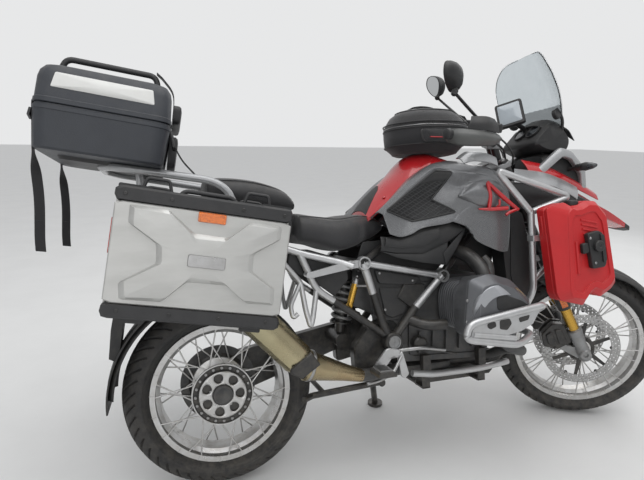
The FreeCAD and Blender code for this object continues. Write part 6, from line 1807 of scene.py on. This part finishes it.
def stage_and_camera():
    """Pale floor with the object's shadow, plain soft studio light, and the photograph's point of view."""
    floor_mesh = bpy.data.meshes.new("floor")
    floor_mesh.from_pydata([(-40, -40, 0), (40, -40, 0), (40, 40, 0), (-40, 40, 0)], [], [(0, 1, 2, 3)])
    floor = bpy.data.objects.new("floor", floor_mesh)
    bpy.context.scene.collection.objects.link(floor)
    paving = bpy.data.materials.new("floor")
    paving.use_nodes = True
    tree = paving.node_tree
    where = node(tree, "TexCoord").outputs["Object"]
    tone = group_node(tree, MOTTLE, [("Vector", where), ("Color", (0.74, 0.74, 0.73, 1)),
                                     ("Second", (0.70, 0.70, 0.69, 1)), ("Scale", 3.0), ("Amount", 0.6)])
    tree.links.new(tone.outputs["Color"], tree.nodes["Principled BSDF"].inputs["Base Color"])
    tree.nodes["Principled BSDF"].inputs["Roughness"].default_value = 0.85
    floor_mesh.materials.append(paving)

    world = bpy.data.worlds.new("studio")
    bpy.context.scene.world = world
    world.use_nodes = True
    tree = world.node_tree
    ray = node(tree, "LightPath")
    seen = node(tree, "Math", [(0, ray.outputs["Is Camera Ray"]), (1, ray.outputs["Is Transmission Ray"])],
                operation="MAXIMUM")
    where = node(tree, "TexCoord").outputs["Generated"]
    height = node(tree, "SeparateXYZ", [(0, where)])
    rise = node(tree, "MapRange", [("Value", height.outputs["Z"]), ("From Min", -0.1), ("From Max", 0.9)])
    glow = mixed(tree, rise.outputs[0], (0.46, 0.46, 0.46, 1), (0.78, 0.79, 0.81, 1))
    colour = mixed(tree, seen.outputs[0], glow, (0.80, 0.805, 0.81, 1))
    tree.links.new(colour, tree.nodes["Background"].inputs["Color"])
    tree.nodes["Background"].inputs["Strength"].default_value = 1.0

    for name, spot, aim, size, power in (
            # name, place, point aimed at, size in metres, watts
            ("overhead", (0.2, -1.0, 4.5), (0, 0, 0.5), 4.0, 90),
            ("left_front", (3.5, 3.0, 3.0), (0, 0, 0.6), 3.0, 36),
            ("near_side", (-1.5, -4.5, 2.2), (0, 0, 0.6), 3.0, 30)):
        lamp = bpy.data.lights.new(name, "AREA")
        lamp.size = size
        lamp.energy = power
        item = bpy.data.objects.new(name, lamp)
        bpy.context.scene.collection.objects.link(item)
        away = unit(np.subtract(spot, aim))
        across = unit(np.cross((0, 0.3, 1), away))
        item.matrix_world = Matrix(place(spot, np.stack([across, np.cross(away, across), away], 1)).tolist())

    right = np.array([0.95399, -0.29748, -0.03741])
    up = np.array([0.04789, 0.02801, 0.99846])
    matrix = CHASSIS @ place((-152.68, -1743.94, 884.22), np.stack([right, up, np.cross(right, up)], 1))
    matrix[:3, 3] /= 1000
    lens = bpy.data.cameras.new("camera")
    lens.lens = 27.95
    lens.sensor_width = 36
    camera = bpy.data.objects.new("camera", lens)
    bpy.context.scene.collection.objects.link(camera)
    camera.matrix_world = Matrix(matrix.tolist())
    bpy.context.scene.camera = camera
    bpy.context.scene.view_settings.view_transform = "Standard"


stage_and_camera()
